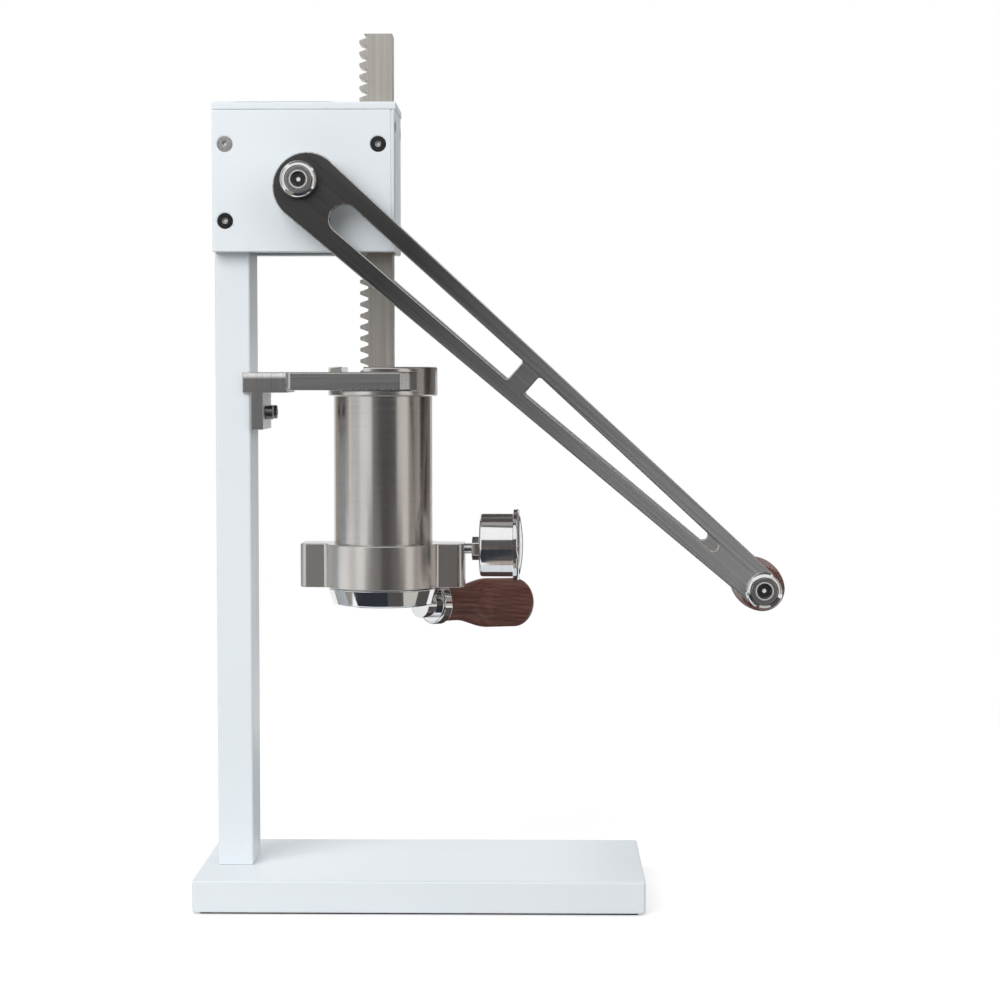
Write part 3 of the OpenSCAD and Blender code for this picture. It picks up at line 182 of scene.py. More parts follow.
class Bench:
    """Modelling steps that the pieces share, done with Blender's operators."""

    TURN_MERGE = 1e-6
    SOLID_MERGE = 2e-6
    FLAT = math.radians(0.5)
    SHARP = 35.0
    EDGE_STEPS = 3
    FULL_WEIGHT = 100
    # Steps of a full turn, from the smallest turned piece to the widest ones
    THREAD_STEPS, GRIP_STEPS, CAP_STEPS, GAUGE_STEPS, RING_STEPS = 64, 96, 128, 144, 160

    @staticmethod
    def clear() -> None:
        """Leave nothing selected."""
        bpy.ops.object.select_all(action="DESELECT")

    @classmethod
    def pick(cls, *objects: Item) -> None:
        """Select these objects alone, and make the first the active one.

        Args:
            objects: What to select.
        """
        cls.clear()
        for item in objects:
            item.select_set(True)
        bpy.context.view_layer.objects.active = objects[0]

    @classmethod
    def edit(cls, item: Item) -> None:
        """Open an object in edit mode with everything selected.

        Args:
            item: The object to open.
        """
        cls.pick(item)
        bpy.ops.object.mode_set(mode="EDIT")
        bpy.ops.mesh.select_all(action="SELECT")

    @staticmethod
    def done() -> Item:
        """Close edit mode and hand back the object."""
        bpy.ops.object.mode_set(mode="OBJECT")
        return bpy.context.object

    @staticmethod
    def fixed() -> Item:
        """Take the active object's place, turn and scale into its mesh, and hand it back."""
        bpy.ops.object.transform_apply(location=True, rotation=True, scale=True)
        return bpy.context.object

    @staticmethod
    def faced() -> None:
        """Turn all faces of the mesh in edit mode outwards."""
        bpy.ops.mesh.normals_make_consistent(inside=False)

    @classmethod
    def turned(cls, profile: Profile, axis: Line, steps: int) -> Item:
        """Turn a profile about an axis, as on a lathe.

        Args:
            profile: Points as (radius, distance along the axis). The first is repeated last for a ring.
            axis: The axis to turn about.
            steps: How many steps make a full turn.

        Returns:
            The turned object, closed and facing outwards.
        """
        side = axis.side()
        points = [axis.at(along) + side * radius for radius, along in profile]
        cls.clear()
        bpy.ops.mesh.primitive_plane_add(size=MM, location=points[0])
        cls.edit(cls.fixed())
        bpy.ops.mesh.merge(type="CENTER")
        for start, end in zip(points, points[1:]):
            bpy.ops.mesh.extrude_vertices_move(TRANSFORM_OT_translate={"value": end - start})
        bpy.ops.mesh.select_all(action="SELECT")
        bpy.ops.mesh.spin(steps=steps, angle=math.tau, center=axis.origin, axis=axis.direction)
        bpy.ops.mesh.select_all(action="SELECT")
        bpy.ops.mesh.remove_doubles(threshold=cls.TURN_MERGE)
        cls.faced()
        return cls.done()

    @classmethod
    def copied(cls, node: Item) -> Item:
        """Copy a solid's mesh and merge its loose triangles into whole faces.

        Args:
            node: The solid.

        Returns:
            The copy, which rides on no body yet.
        """
        cls.pick(node)
        bpy.ops.object.duplicate()
        copy = bpy.context.object
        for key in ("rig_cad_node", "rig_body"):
            del copy[key]
        copy.parent = None
        cls.edit(copy)
        bpy.ops.mesh.remove_doubles(threshold=cls.SOLID_MERGE)
        bpy.ops.mesh.dissolve_limited(angle_limit=cls.FLAT)
        return cls.done()

    @classmethod
    def eased(cls, item: Item, width: float, apart: bool = False) -> Item:
        """Round an object's sharp edges and shade it smooth between them.

        Args:
            item: The object to work on.
            width: Width of the rounding.
            apart: Whether the rounding gets a second material of its own.

        Returns:
            The same object.
        """
        cls.pick(item)
        bevel = item.modifiers.new("eased_edges", "BEVEL")
        bevel.limit_method = "ANGLE"
        bevel.angle_limit = math.radians(cls.SHARP)
        bevel.width = width
        bevel.segments = cls.EDGE_STEPS
        bevel.use_clamp_overlap = False
        if apart:
            item.data.materials.append(None)
            bevel.material = 1
        bpy.ops.object.modifier_apply(modifier=bevel.name)
        return cls.shaded(item)

    @classmethod
    def shaded(cls, item: Item, angle: float = SHARP) -> Item:
        """Shade an object smooth, and keep its flat faces flat.

        Args:
            item: The object to shade.
            angle: Edges that turn more than this many degrees stay sharp.

        Returns:
            The same object.
        """
        cls.pick(item)
        bpy.ops.object.shade_smooth_by_angle(angle=math.radians(angle))
        flat = item.modifiers.new("flat_faces", "WEIGHTED_NORMAL")
        flat.keep_sharp = True
        flat.weight = cls.FULL_WEIGHT
        bpy.ops.object.modifier_apply(modifier=flat.name)
        return item

    @classmethod
    def again(cls, item: Item, move: Matrix) -> Item:
        """Copy an object, with a mesh of its own, to another place.

        Args:
            item: The object to copy.
            move: The copy's place and turn.

        Returns:
            The copy.
        """
        cls.pick(item)
        bpy.ops.object.duplicate()
        bpy.context.object.matrix_world = move
        return cls.fixed()

    @classmethod
    def drop(cls, *items: Item) -> None:
        """Delete objects that were only copied from."""
        cls.pick(*items)
        bpy.ops.object.delete()

    @classmethod
    def repeated(cls, item: Item, moves: Iterable[Matrix]) -> list[Item]:
        """Copy an object to each place, and delete the first one.

        Args:
            item: The object to copy.
            moves: Each copy's place and turn.

        Returns:
            The copies.
        """
        copies = [cls.again(item, move) for move in moves]
        cls.drop(item)
        return copies

    @classmethod
    def joined(cls, items: Sequence[Item]) -> Item:
        """Join objects into the first one.

        Args:
            items: The objects.

        Returns:
            The joined object.
        """
        cls.pick(*items)
        bpy.ops.object.join()
        return bpy.context.object


class Graph:
    """The nodes of a material or a world, built by short calls."""

    # The mix node's sockets for its factor and two colours, and its colour output
    COLOUR_MIX = (0, 6, 7)
    COLOUR_OUT = 2

    def __init__(self, owner: Owner, shader: str = "Principled BSDF") -> None:
        """Open the owner's nodes, which hold one shader.

        Args:
            owner: A material or a world.
            shader: The name of its shader node.
        """
        owner.use_nodes = True
        self.owner = owner
        self.tree = owner.node_tree
        self.shader = self.tree.nodes[shader]

    def feed(self, target: Socket, value: object) -> None:
        """Link a socket, or set it to a plain value.

        Args:
            target: The input to fill.
            value: A socket to link from, or a plain value.
        """
        if isinstance(value, Socket):
            self.tree.links.new(value, target)
        else:
            target.default_value = value

    def fill(self, node: bpy.types.Node, inputs: dict[str, object]) -> None:
        """Set or link a node's inputs by name, with _ for a space."""
        for key, value in inputs.items():
            self.feed(node.inputs[key.replace("_", " ")], value)

    def set(self, **inputs: object) -> None:
        """Set or link the shader's own sockets."""
        self.fill(self.shader, inputs)

    def node(self, kind: str, **inputs: object) -> bpy.types.Node:
        """Add a node and set or link its inputs by name, with _ for a space.

        Args:
            kind: The node's type, such as ShaderNodeBump.
            inputs: A socket to link from, or a plain value.

        Returns:
            The new node.
        """
        made = self.tree.nodes.new(kind)
        self.fill(made, inputs)
        return made

    def step(self, kind: str, operation: str, *values: object) -> bpy.types.Node:
        """Add one step of arithmetic on values or vectors.

        Args:
            kind: The node's type.
            operation: What it does.
            values: Its inputs in order.

        Returns:
            The new node.
        """
        made = self.node(kind)
        made.operation = operation
        for socket, value in zip(made.inputs, values):
            self.feed(socket, value)
        return made

    def math(self, operation: str, first: object, second: object) -> Socket:
        """One step of arithmetic on two values."""
        return self.step("ShaderNodeMath", operation, first, second).outputs["Value"]

    def vector(self, operation: str, *values: object, output: str = "Vector") -> Socket:
        """One step of arithmetic on vectors."""
        return self.step("ShaderNodeVectorMath", operation, *values).outputs[output]

    def placed(self, size: float | Point, turn: Euler | None = None, origin: Vector | None = None) -> Socket:
        """Object coordinates in a turned frame, counted in features of the given size.

        Args:
            size: Length of one feature in metres, or its lengths along the frame's X axis and across it.
            turn: How the frame is turned. It isn't when left out.
            origin: Where the frame starts. The machine's origin when left out.

        Returns:
            The vector socket.
        """
        along, across = size if isinstance(size, tuple) else (size, size)
        where = self.node("ShaderNodeTexCoord").outputs["Object"]
        mapping = self.node("ShaderNodeMapping", Vector=where, Scale=Vector((along, across, across)))
        mapping.vector_type = "TEXTURE"
        if turn is not None:
            mapping.inputs["Rotation"].default_value = turn
        if origin is not None:
            mapping.inputs["Location"].default_value = origin
        return mapping.outputs["Vector"]

    def noise(self, size: float | Point, turn: Euler | None = None, origin: Vector | None = None,
              detail: float = 3.0, distortion: float = 0.0) -> Socket:
        """Noise in a turned frame, with features of the given size.

        Args:
            size: Length of one feature in metres, or its lengths along the frame's X axis and across it.
            turn: How the frame is turned.
            origin: Where the frame starts.
            detail: How many finer layers it has.
            distortion: How far it is swirled.

        Returns:
            The noise's value.
        """
        made = self.node("ShaderNodeTexNoise", Vector=self.placed(size, turn, origin), Scale=1.0,
                         Detail=detail, Distortion=distortion)
        return made.outputs[0]

    def spread(self, value: Socket, low: float, high: float, start: float = NOISE_LOW,
               end: float = NOISE_HIGH) -> Socket:
        """Map a value from start and end to low and high.

        Args:
            value: What to map.
            low: The result at the start.
            high: The result at the end.
            start: The value that gives low.
            end: The value that gives high.

        Returns:
            The mapped value.
        """
        made = self.node("ShaderNodeMapRange", Value=value, From_Min=start, From_Max=end, To_Min=low,
                         To_Max=high)
        return made.outputs["Result"]

    def within(self, distance: Socket, edge: float, blur: float, level: float = 1.0) -> Socket:
        """A level inside an edge, which fades to 0 over the blur on either side of it."""
        return self.spread(distance, level, 0.0, edge - blur, edge + blur)

    def ramp(self, value: Socket, stops: Stops) -> Socket:
        """Colour a value by stops of (place, colour).

        Args:
            value: What to colour.
            stops: Two stops or more, in order.

        Returns:
            The colour.
        """
        made = self.node("ShaderNodeValToRGB", Fac=value)
        ramp = made.color_ramp
        for index, (place, colour) in enumerate(stops):
            stop = ramp.elements[index] if index < 2 else ramp.elements.new(place)
            stop.position = place
            stop.color = (*colour, 1.0)
        return made.outputs["Color"]

    def tone(self, noise: Socket, colour: Colour, low: float, high: float = 1.0) -> Socket:
        """A colour at one share of its level in a noise's low places and another in its high ones."""
        return self.ramp(noise, ((NOISE_LOW, dimmed(colour, low)), (NOISE_HIGH, dimmed(colour, high))))

    def mixed(self, factor: object, first: object, second: object, blend: str = "MIX") -> Socket:
        """Mix two colours.

        Args:
            factor: How much of the second there is.
            first: A colour or its socket.
            second: A colour or its socket.
            blend: How they are mixed.

        Returns:
            The mixed colour.
        """
        made = self.node("ShaderNodeMix")
        made.data_type = "RGBA"
        made.blend_type = blend
        for index, value in zip(self.COLOUR_MIX, (factor, first, second)):
            self.feed(made.inputs[index], (*value, 1.0) if isinstance(value, tuple) else value)
        return made.outputs[self.COLOUR_OUT]

    def stained(self, colour: object, noise: Socket, low: float, share: float = 1.0) -> Socket:
        """Dim a colour in a noise's low places."""
        return self.mixed(share, colour, self.tone(noise, grey(1.0), low), "MULTIPLY")

    def rough(self, noise: Socket, level: float, vary: Point) -> None:
        """Let the roughness vary with a noise, from a little less to a little more than its level."""
        less, more = vary
        self.set(Roughness=self.spread(noise, level - less, level + more) if less or more else level)

    def bump(self, height: Socket, depth: float) -> None:
        """Give the surface a relief of the given depth in metres."""
        self.set(Normal=self.node("ShaderNodeBump", Height=height, Distance=depth).outputs["Normal"])

    def away(self, axis: Line) -> Socket:
        """Distance from an axis in metres.

        Args:
            axis: The axis.

        Returns:
            The distance.
        """
        place = self.placed(1.0, axis.euler(), axis.origin)
        across = self.vector("MULTIPLY", place, (0.0, 1.0, 1.0))
        return self.vector("LENGTH", across, output="Value")

    def seen_directly(self) -> Socket:
        """Tell the rays that come from the camera, a mirror or glass from all others.

        Returns:
            1 for such a ray, else 0.
        """
        path = self.node("ShaderNodeLightPath").outputs
        mirrored = self.math("MAXIMUM", path["Is Camera Ray"], path["Is Glossy Ray"])
        return self.math("MAXIMUM", mirrored, path["Is Transmission Ray"])


class Finish(ABC):
    """A surface finish that makes its own material."""

    def make(self, name: str) -> bpy.types.Material:
        """Make the material under a name.

        Args:
            name: The material's name.

        Returns:
            The material.
        """
        graph = Graph(bpy.data.materials.new(name))
        self.paint(graph)
        return graph.owner

    @abstractmethod
    def paint(self, graph: Graph) -> None:
        """Set up the material's nodes.

        Args:
            graph: The material's nodes.
        """


@dataclass(frozen=True)
class PowderCoat(Finish):
    """Smooth powder coat with a faint orange peel and slow changes of tone."""

    colour: Colour
    shade: Colour
    roughness: float = 0.38
    gloss: float = 0.45
    peel: float = 1.6 * MM
    vary: Point = (0.05, 0.05)
    relief: float = 0.02 * MM
    patch: float = 90 * MM

    def paint(self, graph: Graph) -> None:
        """Set up the material's nodes.

        Args:
            graph: The material's nodes.
        """
        patches = graph.noise(self.patch, detail=2.0)
        peel = graph.noise(self.peel, detail=2.0)
        colour = graph.mixed(graph.spread(patches, 0.0, 1.0), self.colour, self.shade)
        graph.set(Base_Color=colour, Specular_IOR_Level=self.gloss)
        graph.rough(peel, self.roughness, self.vary)
        graph.bump(peel, self.relief)


@dataclass(frozen=True)
class Brushed(Finish):
    """Steel with fine straight scratches along one direction, toned by stops along its length; stops that
    vary paint light and shade.
    """

    tones_and_painted_light: Stops
    axis: Line
    length: float
    roughness: float = 0.34
    metal: float = 0.75
    scratch: float = 0.7 * MM
    run: float = 140 * MM
    band: float = 6.3 * MM
    band_run: float = 560 * MM
    scratch_dim: float = 0.82
    band_dim: float = 0.88
    vary: Point = (0.07, 0.09)
    relief: float = 0.008 * MM

    def paint(self, graph: Graph) -> None:
        """Set up the material's nodes.

        Args:
            graph: The material's nodes.
        """
        turn = self.axis.euler()
        fine = graph.noise((self.run, self.scratch), turn, detail=2.0)
        broad = graph.noise((self.band_run, self.band), turn, detail=2.0)
        place = graph.placed(self.length, turn, self.axis.origin)
        # Where the stops vary along the length they paint light and shade: painted reflection on the lever,
        # painted highlights on the arm's tip and the clamp's top.
        base = graph.ramp(graph.node("ShaderNodeSeparateXYZ", Vector=place).outputs["X"], self.tones_and_painted_light)
        streaked = graph.stained(base, fine, self.scratch_dim)
        graph.set(Base_Color=graph.stained(streaked, broad, self.band_dim), Metallic=self.metal)
        graph.rough(fine, self.roughness, self.vary)
        graph.bump(fine, self.relief)


@dataclass(frozen=True)
class Turned(Finish):
    """Steel polished on a lathe, with hair-fine rings round its axis and a little bloom."""

    colour: Colour
    shade: Colour
    axis: Line
    roughness: float = 0.19
    ring: float = 0.4 * MM
    relief: float = 0.002 * MM
    ring_run: float = 60 * MM
    ring_dim: float = 0.92
    bloom: Point = (40 * MM, 14 * MM)
    vary: Point = (0.03, 0.05)

    def paint(self, graph: Graph) -> None:
        """Set up the material's nodes.

        Args:
            graph: The material's nodes.
        """
        turn = self.axis.euler()
        rings = graph.noise((self.ring, self.ring_run), turn, detail=4.0)
        bloom = graph.noise(self.bloom, turn, distortion=0.6)
        tint = graph.mixed(graph.spread(bloom, 0.0, 1.0), self.colour, self.shade)
        graph.set(Base_Color=graph.stained(tint, rings, self.ring_dim), Metallic=1.0)
        graph.rough(rings, self.roughness, self.vary)
        if self.relief:
            graph.bump(rings, self.relief)


@dataclass(frozen=True)
class Grained(Finish):
    """A plain surface whose tone and gloss vary with one even grain."""

    colour: Colour
    roughness: float = 0.5
    vary: Point = (0.0, 0.0)
    low: float = 1.0
    high: float = 1.0
    grain: float = 1 * MM
    detail: float = 2.0
    distortion: float = 0.0
    metal: float = 0.0
    relief: float = 0.0

    def paint(self, graph: Graph) -> None:
        """Set up the material's nodes.

        Args:
            graph: The material's nodes.
        """
        grain = graph.noise(self.grain, detail=self.detail, distortion=self.distortion)
        graph.set(Base_Color=graph.tone(grain, self.colour, self.low, self.high), Metallic=self.metal)
        graph.rough(grain, self.roughness, self.vary)
        if self.relief:
            graph.bump(grain, self.relief)


@dataclass(frozen=True)
class Machined(Grained):
    """Plain machined metal with fine random tool marks."""

    roughness: float = 0.36
    vary: Point = (0.06, 0.08)
    low: float = 0.85
    grain: float = 0.8 * MM
    detail: float = 4.0
    metal: float = 1.0
    relief: float = 0.008 * MM


@dataclass(frozen=True)
class Mirror(Grained):
    """Mirror plating with faint smudges."""

    roughness: float = 0.06
    vary: Point = (0.02, 0.05)
    high: float = 0.94
    grain: float = 22 * MM
    detail: float = 5.0
    distortion: float = 0.8
    metal: float = 1.0


@dataclass(frozen=True)
class Rubber(Grained):
    """Matte black rubber with a fine tooth."""

    roughness: float = 0.75
    vary: Point = (0.08, 0.1)
    low: float = 0.7
    grain: float = 0.5 * MM
    detail: float = 3.0
    relief: float = 0.03 * MM


@dataclass(frozen=True)
class Print(Grained):
    """Matte printed or painted surface with a faint paper grain."""

    roughness: float = 0.55
    low: float = 0.95
    grain: float = 0.4 * MM


@dataclass(frozen=True)
class Socketed(Finish):
    """Polished screw heads with painted light: a painted shade or reflection in their sockets and a painted
    highlight in their middle.
    """

    rim: Colour
    # The socket's tone is painted shade or a painted reflection.
    inside: Colour
    axes: tuple[Line, ...]
    socket: float
    roughness: float = 0.14
    # Painted highlights: a bright dot in the middle, and a bright ring round the socket where lip isn't 0.
    painted_glint: float = 0.8 * MM
    lip: float = 0.0
    painted_ring_level: float = 0.6
    painted_shine: Colour = grey(0.85)
    edge_blur: float = 0.1 * MM
    painted_shine_blur: float = 0.3 * MM
    mark: float = 0.9 * MM
    mark_dim: float = 0.9
    vary: Point = (0.04, 0.08)
    relief: float = 0.0008 * MM
    # A head on this axis is drawn paler, as if lit: painted light.
    pale: Line | None = None
    painted_lit_rim: Colour = (0.75, 0.76, 0.77)
    painted_lit_reach: Point = (7.5 * MM, 0.5 * MM)

    def paint(self, graph: Graph) -> None:
        """Set up the material's nodes.

        Args:
            graph: The material's nodes.
        """
        nearest = graph.away(self.axes[0])
        for axis in self.axes[1:]:
            nearest = graph.math("MINIMUM", nearest, graph.away(axis))
        marks = graph.noise(self.mark)
        tone = graph.tone(marks, self.rim, self.mark_dim)
        # Painted light: the head on the pale axis is paler.
        if self.pale is not None:
            near = graph.within(graph.away(self.pale), *self.painted_lit_reach)
            tone = graph.mixed(near, tone, self.painted_lit_rim)
        # Painted shade or reflection in the socket, and painted highlights in its middle and round it.
        edge = graph.within(nearest, self.socket, self.edge_blur)
        bright = graph.within(nearest, self.painted_glint, self.painted_shine_blur)
        if self.lip:
            lip = graph.within(nearest, self.socket + self.lip, self.painted_shine_blur, self.painted_ring_level)
            bright = graph.math("MAXIMUM", bright, graph.math("SUBTRACT", lip, edge))
        graph.set(Base_Color=graph.mixed(bright, graph.mixed(edge, tone, self.inside), self.painted_shine),
                  Metallic=graph.math("SUBTRACT", 1.0, bright))
        graph.rough(marks, self.roughness, self.vary)
        graph.bump(marks, self.relief)


@dataclass(frozen=True)
class Sieve(Finish):
    """Polished sheet with rows of fine round holes."""

    colour: Colour
    pitch: float = 1.9 * MM
    hole: float = 0.26
    hole_blur: float = 0.04
    hole_tone: Colour = grey(0.02)
    roughness: float = 0.2
    hole_roughness: float = 0.7
    mark: float = 3 * MM
    mark_dim: float = 0.92

    def paint(self, graph: Graph) -> None:
        """Set up the material's nodes.

        Args:
            graph: The material's nodes.
        """
        flat = graph.vector("MULTIPLY", graph.placed(self.pitch), (1.0, 1.0, 0.0))
        away = graph.vector("DISTANCE", graph.vector("FRACTION", flat), (0.5, 0.5, 0.0), output="Value")
        hole = graph.within(away, self.hole, self.hole_blur)
        tone = graph.tone(graph.noise(self.mark), self.colour, self.mark_dim)
        graph.set(Base_Color=graph.mixed(hole, tone, self.hole_tone), Metallic=1.0,
                  Roughness=graph.spread(hole, self.roughness, self.hole_roughness, 0.0, 1.0))


@dataclass(frozen=True)
class Walnut(Finish):
    """Oiled walnut whose grain runs along one axis."""

    dark: Colour
    middle: Colour
    light: Colour
    axis: Line
    roughness: float = 0.42
    pore_roughness: float = 0.54
    gloss: float = 0.4
    slant: float = math.radians(7.0)
    heart: Point = (17 * MM, -12 * MM)
    sway: Point = (70 * MM, 16 * MM)
    ring: Point = (60 * MM, 9 * MM)
    pore: Point = (9 * MM, 0.35 * MM)
    streak: Point = (60 * MM, 1.6 * MM)
    ring_dim: float = 0.66
    ring_share: float = 0.7
    sway_dim: float = 0.82
    sway_share: float = 0.8
    pore_share: float = 0.75
    pore_span: Point = (0.28, 0.42)
    pore_gloss_end: float = 0.5
    relief: float = 0.03 * MM

    def paint(self, graph: Graph) -> None:
        """Set up the material's nodes.

        Args:
            graph: The material's nodes.
        """
        turn = self.axis.euler()
        slant = (turn.to_matrix() @ Euler((0.0, self.slant, self.slant / 2)).to_matrix()).to_euler()
        heart = self.axis.origin + self.axis.side() * self.heart[0] + UP * self.heart[1]
        sway = graph.noise(self.sway, turn, self.axis.origin, detail=2.0)
        rings = graph.node("ShaderNodeTexWave", Vector=graph.placed(self.ring, slant, heart),
                           Scale=1.0, Distortion=2.2, Detail=2.0, Detail_Scale=0.8)
        rings.wave_type = "RINGS"
        rings.rings_direction = "X"
        pores = graph.noise(self.pore, turn)
        streaks = graph.noise(self.streak, turn, detail=4.0, distortion=0.3)
        body = graph.ramp(streaks, ((0.25, self.dark), (0.5, self.middle), (0.8, self.light)))
        growth = graph.ramp(rings.outputs["Fac"], ((0.0, grey(self.ring_dim)), (0.5, grey(1.0))))
        ringed = graph.mixed(self.ring_share, body, growth, "MULTIPLY")
        toned = graph.stained(ringed, sway, self.sway_dim, self.sway_share)
        pore_tone = graph.spread(pores, self.pore_share, 0.0, *self.pore_span)
        pore_gloss = graph.spread(pores, self.pore_roughness, self.roughness, self.pore_span[0],
                                  self.pore_gloss_end)
        graph.set(Base_Color=graph.mixed(pore_tone, toned, self.dark), Roughness=pore_gloss,
                  Specular_IOR_Level=self.gloss)
        graph.bump(pores, self.relief)


@dataclass(frozen=True)
class ClearGlass(Finish):
    """Clear domed glass."""

    tint: Colour
    roughness: float = 0.02
    bending: float = 1.45

    def paint(self, graph: Graph) -> None:
        """Set up the material's nodes.

        Args:
            graph: The material's nodes.
        """
        graph.set(Base_Color=(*self.tint, 1.0), Roughness=self.roughness, IOR=self.bending,
                  Transmission_Weight=1.0)


class Machine:
    """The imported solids, and the axes that the machine's pieces share."""

    lever_slope: float = math.radians(41.4)
    lever_len: float = 377 * MM
    handle_turn: float = math.radians(43.0)
    handle_drop: float = math.radians(3.0)
    handle_height: float = 182.4 * MM
    ring_radius: float = 35 * MM
    screw_inset: float = 5 * MM
    screw_raised: float = 1.5 * MM

    def __init__(self, frame: dict) -> None:
        """Read the axes from the joints and the solids.
        """
        self.nodes: dict[str, Item] = frame["nodes"]
        joints = {joint["name"]: joint for joint in frame["joints"]}
        pivot = Vector(joints["lever_swing"]["pos_m"])
        slope = Vector((math.cos(self.lever_slope), 0.0, -math.sin(self.lever_slope)))
        self.lever = Line(pivot, slope)
        self.pivot = Line(pivot, ACROSS)
        self.grip = Line(self.lever.at(self.lever_len), ACROSS)
        low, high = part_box("cylinder_tube")
        middle = (low + high) / 2
        self.cylinder = Line(Vector((middle.x, middle.y, 0.0)), UP)
        outward = -Vector(joints["needle_swing"]["axis"]).normalized()
        needle = Vector(joints["needle_swing"]["pos_m"])
        self.gauge = Line(Vector((middle.x, middle.y, needle.z)), outward)
        level = Vector((math.cos(self.handle_turn), math.sin(self.handle_turn), 0.0))
        along = level * math.cos(self.handle_drop) - UP * math.sin(self.handle_drop)
        self.handle = Line(self.cylinder.at(self.handle_height) + level * self.ring_radius, along)
        low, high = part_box("head_side_screws")
        left, right = low.x + self.screw_inset, high.x - self.screw_inset
        foot, top = low.z + self.screw_inset, high.z - self.screw_inset
        self.screws = tuple(Line(Vector((x, 0.0, z)), ACROSS) for x, z in (
            (left, foot), (left, top), (right, foot + self.screw_raised), (right, top)))


class Shelf:
    """Every finish, made once and looked up by name."""

    # Length and blur of the painted highlight at the fork arm's tip
    arm_tip_highlight_len: float = 6 * MM
    arm_highlight_blur: float = 0.002
    rack_span: float = 0.3
    clamp_span: float = 0.4
    bolt_socket: float = 4.75 * MM
    # The bolts' painted highlight dot and painted highlight ring
    bolt_painted_glint: float = 1.3 * MM
    bolt_painted_ring: float = 0.8 * MM
    screw_socket: float = 1.85 * MM

    def __init__(self, machine: Machine) -> None:
        """Name each finish of the machine.

        Args:
            machine: The machine, for the axes that patterns follow.
        """
        upright = Line(ORIGIN, UP)
        # Painted reflection and shade along the lever: dark steel near the pivot, lighter towards the grip.
        lever_painted_light_stops = ((0.2, grey(0.09)), (0.29, grey(0.15)), (0.53, grey(0.34)), (0.7, grey(0.5)),
                 (0.95, grey(0.62)))
        warm = ((0.0, (0.66, 0.625, 0.58)), (1.0, (0.66, 0.625, 0.58)))
        back, tip = (corner.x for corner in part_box("fork_arm"))
        # Painted highlight: the arm's steel turns white over its last few millimetres, standing in for a
        # facet's reflection.
        arm_highlight_start = 1.0 - self.arm_tip_highlight_len / (tip - back)
        arm = ((0.0, (0.33, 0.335, 0.335)), (arm_highlight_start - self.arm_highlight_blur, grey(0.36)),
               (arm_highlight_start + self.arm_highlight_blur, grey(1.0)))
        low, high = (corner.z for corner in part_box("clamp_block"))
        # Painted highlight: the clamp block's dark steel turns white near its top.
        block = ((0.0, grey(0.185)), (0.885, grey(0.20)), (0.94, grey(1.0)))
        # Painted light: near-white steel for the clamp faces that look to the right.
        pale = ((0.0, grey(0.95)), (1.0, grey(1.0)))
        walnut = ((0.080, 0.028, 0.021), (0.175, 0.066, 0.050), (0.29, 0.118, 0.09))
        satin = ((0.70, 0.68, 0.66), (0.67, 0.65, 0.63))
        ends = (machine.pivot, machine.grip)
        self.finishes: dict[str, Finish] = {
            Slot.PAINT.value: PowderCoat((0.80, 0.85, 0.885), (0.775, 0.825, 0.86)),
            Slot.LEVER.value: Brushed(lever_painted_light_stops, machine.lever, machine.lever_len),
            Slot.ARM.value: Brushed(arm, Line(RIGHT * back, RIGHT), tip - back),
            Slot.CYLINDER.value: Turned((0.63, 0.615, 0.60), (0.58, 0.56, 0.545), machine.cylinder),
            Slot.RACK.value: Brushed(warm, upright, self.rack_span, roughness=0.42, metal=0.85),
            Slot.PLAIN.value: Machined(grey(0.45)),
            Slot.SCREW.value: Machined((0.20, 0.20, 0.21), 0.3),
            Slot.POLISHED.value: Turned(grey(0.72), grey(0.66), machine.cylinder, 0.14),
            Slot.CHROME.value: Mirror((0.80, 0.81, 0.82)),
            Slot.BRONZE.value: Machined((0.55, 0.40, 0.20)),
            Slot.RUBBER.value: Rubber((0.022, 0.022, 0.024)),
            Slot.WALNUT.value: Walnut(*walnut, machine.handle),
            Slot.DIAL.value: Print((0.86, 0.86, 0.84)),
            Slot.NEEDLE.value: Print(grey(0.015)),
            Slot.GLASS.value: ClearGlass((0.80, 0.82, 0.825)),
            "walnut_grip": Walnut(*walnut, machine.grip),
            # Painted highlight: rounded edges drawn paler than the faces they ease.
            "edges_painted_highlight": Machined(grey(0.62), 0.25),
            # Painted light in the heads: the sockets get painted shade (bolts) or a painted reflection
            # (screws), with a painted highlight in their middle; the bolts also get a painted highlight
            # ring.
            "bolt_heads": Socketed(grey(0.74), grey(0.17), ends, self.bolt_socket, painted_glint=self.bolt_painted_glint,
                                   lip=self.bolt_painted_ring),
            # One screw head is painted paler, as if lit.
            "screw_heads": Socketed(grey(0.10), grey(0.66), machine.screws, self.screw_socket, 0.2,
                                    pale=machine.screws[1]),
            "clamp_painted_top_highlight": Brushed(block, Line(UP * low, UP), high - low, metal=0.3),
            "right_faces_painted_light": Brushed(pale, upright, self.clamp_span, metal=0.1),
            "flange_satin": Turned(*satin, machine.cylinder, 0.22, 0.12 * MM, 0.0),
            "gauge_satin": Turned(grey(0.90), grey(0.87), machine.gauge, 0.09),
            "sieve": Sieve(grey(0.66)),
        }
        self.made: dict[str, bpy.types.Material] = {}

    def get(self, name: str) -> bpy.types.Material:
        """Look up a material, which is made on first use.

        Args:
            name: The finish's name.

        Returns:
            The material.
        """
        if name not in self.made:
            self.made[name] = self.finishes[name].make(name)
        return self.made[name]


